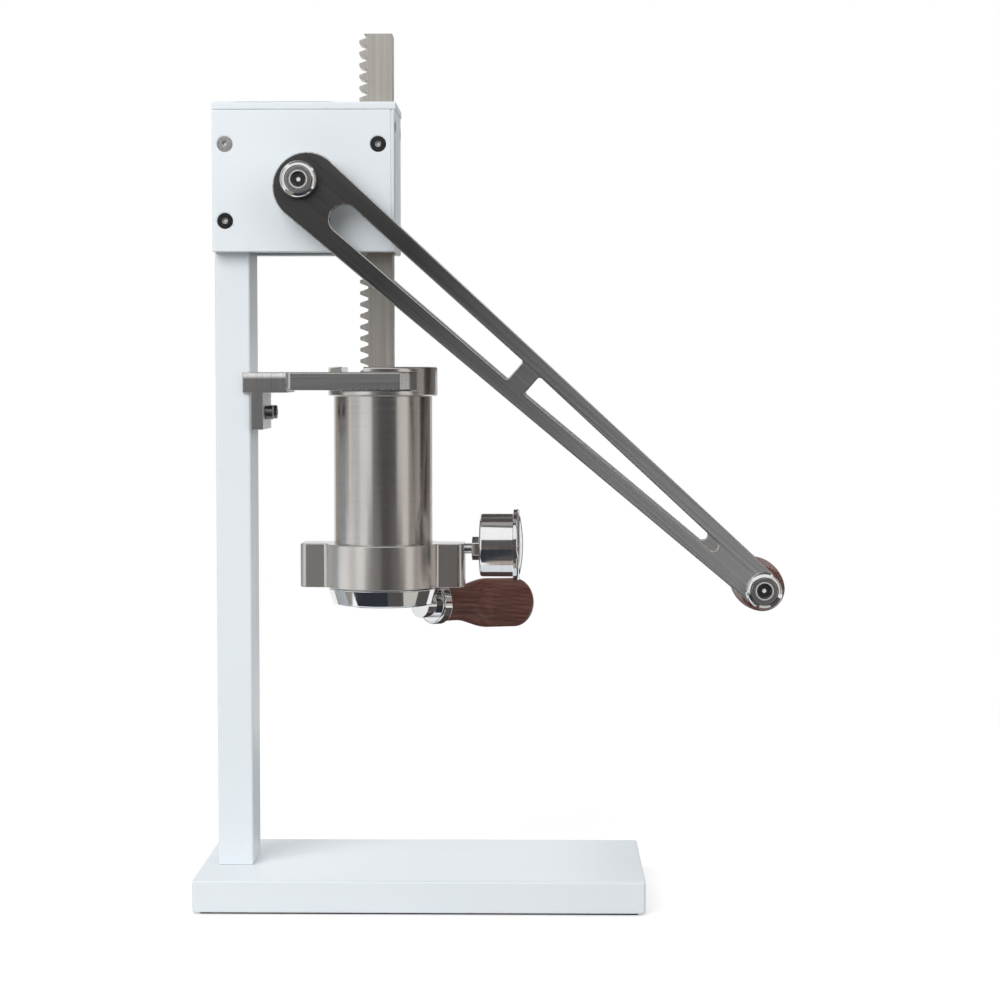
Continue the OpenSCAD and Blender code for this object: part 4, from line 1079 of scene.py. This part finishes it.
@dataclass
class Assembly(ABC):
    """A group of pieces that ride on one body, and are modelled and dressed together."""

    machine: Machine
    shelf: Shelf
    body: ClassVar[Body] = Body.FRAME

    @abstractmethod
    def build(self) -> None:
        """Model and dress the group's pieces."""

    def settle(self, item: Item, name: str, slot: Slot, *nodes: str, finish: str | None = None,
               edges: str | None = None) -> Item:
        """Name a new piece, dress it, and let it ride on the group's body.

        Args:
            item: The piece.
            name: Its name.
            slot: The material slot that it takes its finish from.
            nodes: The solids that it stands for.
            finish: Another finish's name, where it isn't the slot's own.
            edges: The finish of its rounded edges, where they have one of their own.

        Returns:
            The piece.
        """
        item.name = item.data.name = name
        wanted = [finish or slot.value] + ([edges] if edges else [])
        while len(item.data.materials) < len(wanted):
            item.data.materials.append(None)
        for index, title in enumerate(wanted):
            item.data.materials[index] = self.shelf.get(title)
        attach(item, self.body.value)
        if nodes:
            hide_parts(*nodes)
        LOG.info("%s: %d faces, rides on %s", name, len(item.data.polygons), self.body.value)
        return item

    def lathe(self, profile: Profile, axis: Line, steps: int, name: str, slot: Slot, *nodes: str,
              finish: str | None = None, angle: float = Bench.SHARP) -> None:
        """Turn a piece about an axis, and settle it.

        Args:
            profile: Points as (radius, distance along the axis).
            axis: The axis to turn about.
            steps: How many steps make a full turn.
            name: The piece's name.
            slot: The material slot that it takes its finish from.
            nodes: The solids that it stands for.
            finish: Another finish's name, where it isn't the slot's own.
            angle: Edges that turn less than this many degrees are shaded smooth.
        """
        item = Bench.shaded(Bench.turned(profile, axis, steps), angle)
        self.settle(item, name, slot, *nodes, finish=finish)

    def soften(self, slot: Slot, width: float, *nodes: str, finish: str | None = None,
               edges: str | None = None) -> list[Item]:
        """Put copies with eased edges in solids' places.

        Args:
            slot: The material slot that they take their finish from.
            width: Width of the rounding.
            nodes: The solids' names.
            finish: Another finish's name, where it isn't the slot's own.
            edges: The finish of the rounded edges, where they have one of their own.

        Returns:
            The pieces.
        """
        pieces = []
        for node in nodes:
            copy = Bench.eased(Bench.copied(self.machine.nodes[node]), width, apart=edges is not None)
            pieces.append(self.settle(copy, f"{node}_eased", slot, node, finish=finish, edges=edges))
        return pieces

    def dress(self, slot: Slot, *nodes: str, finish: str | None = None) -> None:
        """Give solids that stay as they are their finish.

        Args:
            slot: The material slot that they take their finish from.
            nodes: The solids' names.
            finish: Another finish's name, where it isn't the slot's own.
        """
        for node in nodes:
            solid = self.machine.nodes[node]
            solid.data.materials.clear()
            solid.data.materials.append(self.shelf.get(finish or slot.value))
            LOG.info("%s: dressed as %s", node, finish or slot.value)


@dataclass
class Stand(Assembly):
    """Base plate, mat and post."""

    edge: float = 0.8 * MM

    def build(self) -> None:
        """Ease the painted pieces' edges and dress the hidden ones."""
        self.soften(Slot.PAINT, self.edge, "base_plate", "post")
        self.dress(Slot.RUBBER, "base_mat")
        self.dress(Slot.SCREW, "base_screws")
        self.dress(Slot.PLAIN, "post_foot_plug")


@dataclass
class Head(Assembly):
    """The painted head with its screws, bushes and guides."""

    edge: float = 0.8 * MM
    screw_edge: float = 0.25 * MM

    def build(self) -> None:
        """Ease the painted plates and the screws that show."""
        self.soften(Slot.PAINT, self.edge, "head_side_front", "head_side_rear", "head_top_plate",
                    "head_front_cover")
        self.soften(Slot.SCREW, self.screw_edge, "head_side_screws", finish="screw_heads")
        self.soften(Slot.SCREW, self.screw_edge, "head_cover_screws")
        self.dress(Slot.BRONZE, "shaft_bushes", "rack_guides")


@dataclass
class LeverGroup(Assembly):
    """The lever's two plates with their caps, bolts and grip, and the pinion on its shaft."""

    body: ClassVar[Body] = Body.LEVER
    plate_edge: float = 0.7 * MM
    bolt_edge: float = 0.3 * MM
    spacer_edge: float = 0.4 * MM
    plate_out: float = 50 * MM
    cap_r: float = 11.4 * MM
    cap_recess: float = 8.5 * MM
    cap_hole: float = 5.1 * MM
    cap_floor: float = 2 * MM
    cap_thk: float = 7 * MM
    cap_edge: float = 0.3 * MM
    cap_lean: float = 15.0
    cap_steps: int = 20
    grip_half: float = 43.5 * MM
    grip_r: float = 15.5 * MM
    grip_end_r: float = 13.5 * MM
    grip_bore: float = 8.05 * MM
    grip_edge: float = 2 * MM
    grip_blend: float = 10.0
    grip_edge_steps: int = 5
    grip_steps: int = 28

    def build(self) -> None:
        """Model the group's pieces."""
        self.soften(Slot.LEVER, self.plate_edge, "lever_plate_front", "lever_plate_rear",
                    edges="edges_painted_highlight")
        self.soften(Slot.POLISHED, self.bolt_edge, "lever_bolts", finish="bolt_heads")
        self.caps()
        self.grip()
        self.soften(Slot.CHROME, self.spacer_edge, "lever_spacers")
        self.dress(Slot.PLAIN, "pinion_shaft", "pinion_gear", "pinion_key", "grip_tie_tube")

    def caps(self) -> None:
        """Turn one polished cap, a domed rim over a thin floor, and copy it to the lever's four ends."""
        lean = math.radians(self.cap_lean)
        bow = (self.cap_r - self.cap_recess) / (math.cos(lean) - math.sin(lean))
        sunk = bow * math.cos(lean)
        middle = (self.cap_r - sunk, self.cap_thk - sunk)
        profile = [(self.cap_hole, 0.0), (self.cap_r - self.cap_edge, 0.0), (self.cap_r, self.cap_edge),
                   *arc(middle, bow, self.cap_lean, 90 - self.cap_lean, self.cap_steps),
                   (self.cap_recess, self.cap_floor), (self.cap_hole, self.cap_floor), (self.cap_hole, 0.0)]
        first = Bench.shaded(Bench.turned(profile, Line(ORIGIN, -ACROSS), Bench.CAP_STEPS))
        moves = [Matrix.Translation(axis.origin + ACROSS * out) @ Matrix.Rotation(turn, 4, "Z")
                 for axis in (self.machine.pivot, self.machine.grip)
                 for out, turn in ((-self.plate_out, 0.0), (self.plate_out, math.pi))]
        caps = Bench.joined(Bench.repeated(first, moves))
        self.settle(caps, "polished_caps", Slot.CHROME, "lever_caps")

    def grip(self) -> None:
        """Turn the wooden grip, which swells to its middle on one long arc."""
        swell = self.grip_r - self.grip_end_r
        bow = (self.grip_half ** 2 + swell ** 2) / (2 * swell)
        reach = self.grip_half - self.grip_edge
        shift = self.grip_r - bow
        places = [-reach + 2 * reach * step / self.grip_steps for step in range(self.grip_steps + 1)]
        side = [(shift + math.sqrt(bow ** 2 - place ** 2), place) for place in places]
        foot = side[0][0] - self.grip_edge
        blend, steps = self.grip_blend, self.grip_edge_steps
        start = arc((foot, -reach), self.grip_edge, -90, -blend, steps)
        end = arc((foot, reach), self.grip_edge, blend, 90, steps)
        profile = [(self.grip_bore, -self.grip_half), *start, *side, *end, (self.grip_bore, self.grip_half),
                   (self.grip_bore, -self.grip_half)]
        self.lathe(profile, self.machine.grip, Bench.GRIP_STEPS, "turned_grip", Slot.WALNUT, "grip_sleeve",
                   finish="walnut_grip")


@dataclass
class RackGroup(Assembly):
    """The rack with its rod and piston."""

    body: ClassVar[Body] = Body.RACK
    edge: float = 0.25 * MM

    def build(self) -> None:
        """Ease the rack and dress the rest."""
        self.soften(Slot.RACK, self.edge, "rack_bar")
        self.dress(Slot.POLISHED, "piston_rod", "piston")
        self.dress(Slot.RUBBER, "piston_seals")
        self.dress(Slot.SCREW, "piston_screw")


@dataclass
class BrewGroup(Assembly):
    """Clamp, forked arm, collar, cylinder and flange."""

    clamp_edge: float = 0.6 * MM
    arm_edge: float = 0.9 * MM
    screw_edge: float = 0.25 * MM
    tube_edge: float = 0.4 * MM
    flange_edge: float = 0.6 * MM
    tube_wall: float = 3 * MM
    facing: float = 0.9

    def build(self) -> None:
        """Model the group's pieces."""
        self.clamp()
        self.soften(Slot.ARM, self.arm_edge, "fork_arm", edges="edges_painted_highlight")
        self.soften(Slot.SCREW, self.screw_edge, "clamp_screws", "arm_screws")
        self.soften(Slot.CYLINDER, self.tube_edge, "cylinder_collar", finish="flange_satin")
        self.soften(Slot.CYLINDER, self.flange_edge, "group_flange", finish="flange_satin")
        self.cylinder_tube()
        self.dress(Slot.RUBBER, "group_gasket")
        self.dress(Slot.POLISHED, "shower_screen", finish="sieve")

    def clamp(self) -> None:
        """Ease the clamp's block, and give the faces that look to the right a paler steel, which is painted
        light.
        """
        eased = self.soften(Slot.ARM, self.clamp_edge, "clamp_block", finish="clamp_painted_top_highlight",
                            edges="edges_painted_highlight")
        block = eased[0].data
        # Painted light: the faces that look to the right get a paler steel, as if lit.
        block.materials.append(self.shelf.get("right_faces_painted_light"))
        for face in block.polygons:
            if face.normal.x > self.facing:
                face.material_index = len(block.materials) - 1

    def cylinder_tube(self) -> None:
        """Turn the brewing cylinder."""
        low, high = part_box("cylinder_tube")
        outer = (high.x - low.x) / 2
        inner = outer - self.tube_wall
        profile = ((inner, low.z), (outer, low.z), (outer, high.z), (inner, high.z), (inner, low.z))
        tube = Bench.eased(Bench.turned(profile, self.machine.cylinder, Bench.RING_STEPS), self.tube_edge)
        self.settle(tube, "brewing_cylinder", Slot.CYLINDER, "cylinder_tube")


@dataclass
class Gauge(Assembly):
    """The pressure gauge on its fitting. Distances count along the gauge's axis from the cylinder's."""

    fitting_edge: float = 0.5 * MM
    dial_lift: float = 2.3 * MM
    spigot_r: float = 3 * MM
    thread_sunk: float = 0.1 * MM
    thread_high: float = 0.6 * MM
    flanks: Point = (0.2 * MM, 1.15 * MM)
    crests: Point = (0.55 * MM, 0.8 * MM)
    thread_start: float = 52 * MM
    thread_pitch: float = 1.3 * MM
    thread_turns: int = 3
    back: float = 61.1 * MM
    case_front: float = 82.3 * MM
    case_end: float = 82.6 * MM
    case_r: float = 20 * MM
    case_wall: float = 1.2 * MM
    case_edge: float = 2 * MM
    dial_back: float = 79.9 * MM
    dial_front: float = 80.7 * MM
    dial_seat: float = 18.8 * MM
    ledge_r: float = 17.35 * MM
    bezel_r: float = 22.8 * MM
    bezel_play: float = 0.05 * MM
    bezel_brow: float = 2 * MM
    bezel_front: float = 86.1 * MM
    bezel_edge: float = 0.3 * MM
    lip_r: float = 18.5 * MM
    lip_edge: float = 0.6 * MM
    glass_thk: float = 1.4 * MM
    dome_half: float = 18.35 * MM
    dome_hgt: float = 2.3 * MM
    dome_steps: int = 16
    tick_r: float = 16.2 * MM
    long_tick: Point = (0.55 * MM, 2.4 * MM)
    short_tick: Point = (0.3 * MM, 1.3 * MM)
    figure_r: float = 11.2 * MM
    figure_size: float = 3.4 * MM
    print_thk: float = 0.05 * MM
    scale_top: int = 16
    scale_step: int = 4
    scale_sweep: float = 270.0

    def build(self) -> None:
        """Model the group's pieces."""
        self.soften(Slot.CHROME, self.fitting_edge, "gauge_fitting")
        self.thread()
        self.case()
        self.bezel()
        self.glass()
        self.dial_print()
        self.dress(Slot.BRONZE, "gauge_movement")
        self.dress(Slot.DIAL, "gauge_dial")
        self.dress(Slot.NEEDLE, "gauge_needle")

    def thread(self) -> None:
        """Turn the few turns of thread that show on the spigot behind the nut."""
        axis = Line(self.machine.gauge.origin - UP * self.dial_lift, self.machine.gauge.direction)
        root, crest = self.spigot_r - self.thread_sunk, self.spigot_r + self.thread_high
        profile = [(root, self.thread_start)]
        for turn in range(self.thread_turns):
            foot = self.thread_start + turn * self.thread_pitch
            profile += [(self.spigot_r, foot + self.flanks[0]), (crest, foot + self.crests[0]),
                        (crest, foot + self.crests[1]), (self.spigot_r, foot + self.flanks[1])]
        profile += [(root, self.thread_start + self.thread_turns * self.thread_pitch), profile[0]]
        self.lathe(profile, axis, Bench.THREAD_STEPS, "spigot_thread", Slot.CHROME)

    def case(self) -> None:
        """Turn the cup-shaped case with its seat for the dial."""
        edge = self.case_edge
        floor = self.back + self.case_wall
        profile = [(0.0, self.back), *arc((self.case_r - edge, self.back + edge), edge, -90, 0),
                   (self.case_r, self.case_end), (self.dial_seat, self.case_end),
                   (self.dial_seat, self.dial_back), (self.ledge_r, self.dial_back), (self.ledge_r, floor),
                   (0.0, floor)]
        self.lathe(profile, self.machine.gauge, Bench.GAUGE_STEPS, "turned_gauge_case", Slot.CHROME,
                   "gauge_case", finish="gauge_satin")

    def bezel(self) -> None:
        """Turn the bezel with its rounded lip."""
        brow, lip = self.bezel_brow, self.lip_edge
        seat = self.case_r + self.bezel_play
        shelf = self.case_end + self.glass_thk
        profile = [(seat, self.case_front), (self.bezel_r - self.bezel_edge, self.case_front),
                   (self.bezel_r, self.case_front + self.bezel_edge),
                   *arc((self.bezel_r - brow, self.bezel_front - brow), brow, 0, 90),
                   *arc((self.lip_r + lip, self.bezel_front - lip), lip, 90, 180, SMALL_ARC_STEPS),
                   (self.lip_r, shelf), (seat, shelf), (seat, self.case_front)]
        self.lathe(profile, self.machine.gauge, Bench.GAUGE_STEPS, "turned_bezel", Slot.CHROME,
                   "gauge_bezel")

    def glass(self) -> None:
        """Turn the domed glass with its flat flange."""
        bow = ((self.dome_half + self.glass_thk) ** 2 + self.dome_hgt ** 2) / (2 * self.dome_hgt)
        middle = self.bezel_front + self.dome_hgt - bow
        inner = self.dome_half - self.glass_thk
        shelf = self.case_end + self.glass_thk

        def dome(half: float, radius: float) -> list[Point]:
            """Points from the glass's middle out to half its width."""
            steps = [half * step / self.dome_steps for step in range(self.dome_steps + 1)]
            return [(step, middle + math.sqrt(radius ** 2 - step ** 2)) for step in steps]

        profile = [*dome(self.dome_half, bow), (self.dome_half, shelf), (self.case_r, shelf),
                   (self.case_r, self.case_end), (inner, self.case_end),
                   *reversed(dome(inner, bow - self.glass_thk))]
        self.lathe(profile, self.machine.gauge, Bench.CAP_STEPS, "domed_glass", Slot.GLASS, "gauge_glass")

    def dial_print(self) -> None:
        """Print a plain scale on the dial: long and short ticks, and upright numbers."""
        axis = self.machine.gauge
        face = Matrix((UP.cross(axis.direction), UP, axis.direction)).transposed().to_4x4()
        face.translation = axis.at(self.dial_front)
        marks = []
        long_tick, short_tick = self.tick(*self.long_tick), self.tick(*self.short_tick)
        halves = 2 * self.scale_top
        for step in range(halves + 1):
            turn = math.radians(self.scale_sweep * (step / halves - 0.5))
            numbered = step % (2 * self.scale_step) == 0
            tick = long_tick if numbered else short_tick
            marks.append(Bench.again(tick, face @ Matrix.Rotation(-turn, 4, "Z")))
            if numbered:
                place = Vector((math.sin(turn), math.cos(turn), 0.0)) * self.figure_r
                marks.append(self.figure(str(step // 2), face @ Matrix.Translation(place)))
        Bench.drop(long_tick, short_tick)
        self.settle(Bench.joined(marks), "dial_scale", Slot.NEEDLE)

    def tick(self, width: float, length: float) -> Item:
        """Make one tick that points up from the dial's middle, with its outer end on the scale's circle.

        Args:
            width: The tick's width.
            length: Its length.

        Returns:
            The tick.
        """
        Bench.clear()
        bpy.ops.mesh.primitive_plane_add(size=1.0, location=(0.0, self.tick_r - length / 2, 0.0))
        bpy.context.object.scale = (width, length, 1.0)
        Bench.edit(Bench.fixed())
        bpy.ops.mesh.extrude_region_move(TRANSFORM_OT_translate={"value": (0.0, 0.0, self.print_thk)})
        bpy.ops.mesh.select_all(action="SELECT")
        Bench.faced()
        return Bench.done()

    def figure(self, text: str, place: Matrix) -> Item:
        """Set one number on the dial.

        Args:
            text: The number.
            place: Its middle on the dial's face.

        Returns:
            The number as a mesh.
        """
        Bench.clear()
        bpy.ops.object.text_add()
        letters = bpy.context.object.data
        letters.body = text
        letters.size = self.figure_size
        letters.align_x = letters.align_y = "CENTER"
        letters.extrude = self.print_thk / 2
        bpy.ops.object.convert(target="MESH")
        bpy.context.object.matrix_world = place @ Matrix.Translation((0.0, 0.0, self.print_thk / 2))
        return Bench.fixed()


@dataclass
class Portafilter(Assembly):
    """The bottomless portafilter with its basket and handle. Handle lengths count from the ring's wall."""

    body: ClassVar[Body] = Body.PORTAFILTER
    ring_r: float = 35 * MM
    ring_bore: float = 28 * MM
    ring_low: float = 184.7 * MM
    ring_top: float = 195.7 * MM
    ring_taper: float = 3 * MM
    ring_edge: float = 2 * MM
    ring_brow: float = 0.6 * MM
    top_band: float = 1 * MM
    rim_r: float = 30.2 * MM
    lug_r: float = 33.2 * MM
    lug_root: float = 1 * MM
    lug_low: float = 199.8 * MM
    lug_thk: float = 4 * MM
    lug_wid: float = 14 * MM
    lug_edge: float = 0.5 * MM
    neck_r: float = 9 * MM
    neck_len: float = 4.5 * MM
    neck_inset: float = 2 * MM
    ferrule_r: float = 13.3 * MM
    ferrule_edge: float = 1.5 * MM
    stud_hole: float = 4.05 * MM
    wood_start: float = 12.5 * MM
    wood_len: float = 72 * MM
    wood_steps: int = 48
    wood_smooth: float = 50.0
    end_blend: float = 6.0
    end_steps: int = 14
    waist_r: float = 11.2 * MM
    bulge_r: float = 16.1 * MM
    waist_at: float = 0.19
    bulge_at: float = 0.56
    mouth_flare: float = 0.3 * MM

    def build(self) -> None:
        """Model the group's pieces."""
        self.ring()
        self.ferrule()
        self.wooden_handle()
        self.dress(Slot.POLISHED, "filter_basket", finish="sieve")
        self.dress(Slot.PLAIN, "basket_spring", "handle_stud")

    def ring(self) -> None:
        """Turn the chrome ring and add its neck and its two bayonet lugs."""
        edge, brow = self.ring_edge, self.ring_brow
        foot = (self.ring_r - self.ring_taper - edge, self.ring_low + edge)
        run = (self.ring_taper + edge, self.ring_top - self.top_band - foot[1])
        lean = math.degrees(math.acos(edge / math.hypot(*run)) - math.atan2(run[1], run[0]))
        rim_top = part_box("portafilter_ring")[1].z
        profile = [(self.ring_bore, self.ring_low), *arc(foot, edge, -90, -lean),
                   (self.ring_r, self.ring_top - self.top_band),
                   *arc((self.ring_r - brow, self.ring_top - brow), brow, 0, 90, SMALL_ARC_STEPS),
                   (self.rim_r, self.ring_top), (self.rim_r, rim_top), (self.ring_bore, rim_top),
                   (self.ring_bore, self.ring_low)]
        body = Bench.shaded(Bench.turned(profile, self.machine.cylinder, Bench.RING_STEPS))
        inside = self.ring_bore - self.ring_r + self.neck_inset
        shank = [(0.0, inside), (self.neck_r, inside), (self.neck_r, self.neck_len), (0.0, self.neck_len)]
        neck = Bench.shaded(Bench.turned(shank, self.machine.handle, Bench.GRIP_STEPS))
        centre = Matrix.Translation(self.machine.cylinder.origin)
        turns = [self.machine.handle_turn + side for side in (math.pi / 2, -math.pi / 2)]
        lugs = Bench.repeated(self.lug(), [centre @ Matrix.Rotation(turn, 4, "Z") for turn in turns])
        self.settle(Bench.joined([body, neck, *lugs]), "turned_ring", Slot.CHROME, "portafilter_ring")

    def lug(self) -> Item:
        """Shape one bayonet lug, which points along X from the cylinder's axis.

        Returns:
            The lug.
        """
        inner = self.rim_r - self.lug_root
        centre = ((inner + self.lug_r) / 2, 0.0, self.lug_low + self.lug_thk / 2)
        Bench.clear()
        bpy.ops.mesh.primitive_cube_add(size=1.0, location=centre)
        bpy.context.object.scale = (self.lug_r - inner, self.lug_wid, self.lug_thk)
        return Bench.eased(Bench.fixed(), self.lug_edge)

    def ferrule(self) -> None:
        """Turn the chrome ferrule between the neck and the wood."""
        edge = self.ferrule_edge
        middle = self.ferrule_r - edge
        profile = [(self.stud_hole, self.neck_len), *arc((middle, self.neck_len + edge), edge, -90, 0),
                   *arc((middle, self.wood_start - edge), edge, 0, 90), (self.stud_hole, self.wood_start),
                   (self.stud_hole, self.neck_len)]
        self.lathe(profile, self.machine.handle, Bench.CAP_STEPS, "turned_ferrule", Slot.CHROME,
                   "handle_ferrule")

    def wooden_handle(self) -> None:
        """Turn the handle, from its waist behind the ferrule to its bulge and rounded end."""
        def eased(value: float) -> float:
            """A smooth step from 0 to 1."""
            value = max(0.0, min(1.0, value))
            return value * value * (3 - 2 * value)

        edge = self.bulge_r / 2
        body = self.wood_len - edge
        side = []
        for step in range(self.wood_steps + 1):
            share = body * step / self.wood_steps / self.wood_len
            swell = eased((share - self.waist_at) / (self.bulge_at - self.waist_at))
            flare = 1 - eased(share / self.waist_at)
            radius = self.waist_r + self.mouth_flare * flare + (self.bulge_r - self.waist_r) * swell
            side.append((radius, self.wood_start + share * self.wood_len))
        end = arc((self.bulge_r - edge, self.wood_start + body), edge, self.end_blend, 90, self.end_steps)
        profile = [(0.0, self.wood_start), *side, *end, (0.0, self.wood_start + self.wood_len)]
        self.lathe(profile, self.machine.handle, Bench.CAP_STEPS, "turned_handle", Slot.WALNUT,
                   "wooden_handle", angle=self.wood_smooth)


@dataclass
class Card:
    """A flat studio card that only shows in reflections."""

    name: str
    colour: Colour
    centre: Vector
    turn: Euler
    size: Point

    @classmethod
    def standing(cls, name: str, colour: Colour, span: Point, heights: Point, distance: float) -> Card:
        """Stand a card on a circle round the machine.

        Args:
            name: Its name.
            colour: What it adds to reflections.
            span: Its two edges in degrees from the camera's side, with negative ones on the left.
            heights: Its lower and upper edge.
            distance: The circle's radius.

        Returns:
            The card.
        """
        middle = math.radians(sum(span) / 2)
        width = 2 * distance * math.tan(math.radians(span[1] - span[0]) / 2)
        centre = Vector((distance * math.sin(middle), -distance * math.cos(middle), sum(heights) / 2))
        return cls(name, colour, centre, Euler((math.pi / 2, 0.0, middle)), (width, heights[1] - heights[0]))

    @classmethod
    def lying(cls, name: str, colour: Colour, across: Point, deep: Point, height: float) -> Card:
        """Lay a card level, between two places along X and two along Y, at a height."""
        centre = Vector((sum(across) / 2, sum(deep) / 2, height))
        return cls(name, colour, centre, Euler((0.0, 0.0, 0.0)), (across[1] - across[0], deep[1] - deep[0]))

    def build(self) -> None:
        """Put the card in its place."""
        Bench.clear()
        bpy.ops.mesh.primitive_plane_add(size=1.0, location=self.centre, rotation=self.turn)
        card = bpy.context.object
        card.name = card.data.name = self.name
        card.scale = (*self.size, 1.0)
        card.visible_camera = card.visible_diffuse = card.visible_shadow = card.visible_transmission = False
        graph = Graph(bpy.data.materials.new(self.name))
        graph.set(Base_Color=(0.0, 0.0, 0.0, 1.0), Roughness=1.0, Specular_IOR_Level=0.0)
        graph.set(Emission_Color=(*self.colour, 1.0), Emission_Strength=1.0)
        card.data.materials.append(graph.owner)


@dataclass
class Studio:
    """Floor, soft lights, reflection cards and the camera."""

    eye: Vector = field(default_factory=lambda: Vector((0.0726, -1.5, 0.333)))
    lens: float = 85.72
    sensor: float = 36.0
    clip: float = 0.05
    tilt: float = math.radians(3.15)
    pan: float = math.radians(0.91)
    ambient: float = 0.38
    floor_size: float = 40.0
    floor_tone: float = 0.6
    floor_roughness: float = 0.9
    floor_glow: float = 0.5
    floor_near: float = 0.45
    floor_far: float = 1.0
    aim_height: float = 0.25

    def build(self) -> None:
        """Set up the studio."""
        self.camera()
        self.world()
        self.floor()
        self.lamp("key_light", Vector((-0.75, -1.25, 1.15)), 1.2, 22.0)
        self.lamp("fill_light", Vector((1.6, -1.2, 1.1)), 1.4, 9.0)
        self.lamp("top_light", Vector((0.0, 0.2, 2.2)), 1.6, 4.5)
        self.lamp("back_light", Vector((0.4, 1.6, 1.1)), 1.4, 12.0)
        for card in self.cards():
            card.build()
        bpy.context.scene.view_settings.view_transform = "Standard"

    @staticmethod
    def cards() -> list[Card]:
        """List the cards that give the metal its bright and dark bands.

        Returns:
            The cards, standing ones first.
        """
        tall, front, behind, low = (0.0, 1.25), (0.0, 0.63), (0.0, 0.65), (0.0, 0.185)
        outer, inner = 1.0, 0.97
        floor, under, ceiling = 0.001, 0.0005, 1.5
        standing = (
            ("front_dark", (0.105, 0.10, 0.10), (-9, 35), front, outer),
            ("front_grey", (0.19, 0.185, 0.185), (-23, -9), front, outer),
            ("left_bright", grey(1.0), (-52, -23), tall, outer),
            ("left_soft", (0.72, 0.71, 0.70), (-77, -52), tall, outer),
            ("left_brown", (0.43, 0.375, 0.325), (-142, -82), tall, outer),
            ("right_bright", (0.86, 0.82, 0.785), (36, 64), tall, outer),
            ("right_warm", (0.36, 0.325, 0.30), (64, 95), tall, outer),
            ("right_dark", (0.045, 0.033, 0.03), (97, 130), tall, outer),
            ("right_brown", (0.22, 0.19, 0.175), (130, 152), tall, outer),
            ("low_bright", grey(1.0), (-128, -35), low, inner),
            ("low_grey", (0.29, 0.28, 0.27), (-35, -2), low, inner),
            ("low_dark", (0.11, 0.085, 0.08), (-2, 4.5), low, inner),
            ("low_warm", (0.19, 0.178, 0.174), (4.5, 60), low, inner),
            ("low_beige", (0.62, 0.55, 0.51), (60, 122), low, inner),
            ("low_brown", (0.36, 0.32, 0.295), (122, 150), low, inner),
            ("behind_dark", grey(0.05), (163, 172), behind, outer),
        )
        lying = (
            ("floor_navy", (0.035, 0.04, 0.05), (-0.3, 0.03), (-1.0, -0.12), floor),
            ("floor_left", (0.33, 0.32, 0.29), (-0.8, -0.3), (-1.0, 0.3), floor),
            ("floor_front", (0.065, 0.062, 0.065), (0.03, 0.6), (-1.0, -0.27), floor),
            ("floor_beige", (0.42, 0.36, 0.325), (0.03, 0.078), (-0.16, 0.0), floor),
            ("floor_back", (0.06, 0.045, 0.04), (-0.1, 0.16), (0.066, 0.6), floor),
            ("floor_right", (0.10, 0.09, 0.09), (0.03, 0.6), (-0.27, 0.25), under),
            ("floor_leaf", (0.62, 0.60, 0.55), (0.17, 0.30), (-0.24, -0.02), floor),
            ("ceiling_grey", grey(0.35), (-0.8, 0.9), (-0.34, 0.09), ceiling),
            ("ceiling_brown", (0.09, 0.075, 0.07), (-0.8, 0.9), (0.09, 3.0), ceiling),
        )
        return [Card.standing(*row) for row in standing] + [Card.lying(*row) for row in lying]

    def camera(self) -> None:
        """Stand the camera at the photograph's viewpoint, turned a little down and to the left."""
        Bench.clear()
        bpy.ops.object.camera_add(location=self.eye, rotation=(math.pi / 2 - self.tilt, 0.0, self.pan))
        camera = bpy.context.object
        camera.data.lens = self.lens
        camera.data.sensor_width = self.sensor
        camera.data.clip_start = self.clip
        bpy.context.scene.camera = camera

    def world(self) -> None:
        """A white backdrop that lights the machine softly."""
        world = bpy.data.worlds.new("studio")
        bpy.context.scene.world = world
        graph = Graph(world, "Background")
        level = graph.spread(graph.seen_directly(), self.ambient, 1.0, 0.0, 1.0)
        graph.set(Color=(1.0, 1.0, 1.0, 1.0), Strength=level)

    def floor(self) -> None:
        """A pale floor that keeps the machine's shadow and fades into the backdrop."""
        Bench.clear()
        bpy.ops.mesh.primitive_plane_add(size=self.floor_size)
        floor = bpy.context.object
        floor.name = floor.data.name = "floor"
        graph = Graph(bpy.data.materials.new("floor"))
        fade = graph.spread(graph.away(Line(ORIGIN, UP)), 0.0, 1.0, self.floor_near, self.floor_far)
        rising = graph.spread(fade, self.floor_glow, 1.0, 0.0, 1.0)
        glow = graph.math("MULTIPLY", graph.seen_directly(), rising)
        tone = graph.mixed(fade, grey(self.floor_tone), grey(0.0))
        graph.set(Base_Color=tone, Roughness=self.floor_roughness, Specular_IOR_Level=0.0)
        graph.set(Emission_Color=(1.0, 1.0, 1.0, 1.0), Emission_Strength=glow)
        floor.data.materials.append(graph.owner)

    def lamp(self, name: str, place: Vector, size: float, power: float) -> None:
        """Hang a square soft light that points at the machine's middle and stays out of reflections.

        Args:
            name: Its name.
            place: Where it hangs.
            size: Length of its sides.
            power: Its power in watts.
        """
        turn = (UP * self.aim_height - place).to_track_quat("-Z", "Y").to_euler()
        Bench.clear()
        bpy.ops.object.light_add(type="AREA", location=place, rotation=turn)
        lamp = bpy.context.object
        lamp.name = lamp.data.name = name
        lamp.data.size = size
        lamp.data.energy = power
        lamp.visible_glossy = False


def main() -> None:
    """Load the solids, and build the studio and every group."""
    logging.basicConfig(level=logging.INFO, format="%(name)s: %(message)s")
    machine = Machine(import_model())
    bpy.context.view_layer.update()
    shelf = Shelf(machine)
    Studio().build()
    for group in (Stand, Head, LeverGroup, RackGroup, BrewGroup, Gauge, Portafilter):
        group(machine, shelf).build()
    Bench.clear()


if __name__ == "__main__":
    main()
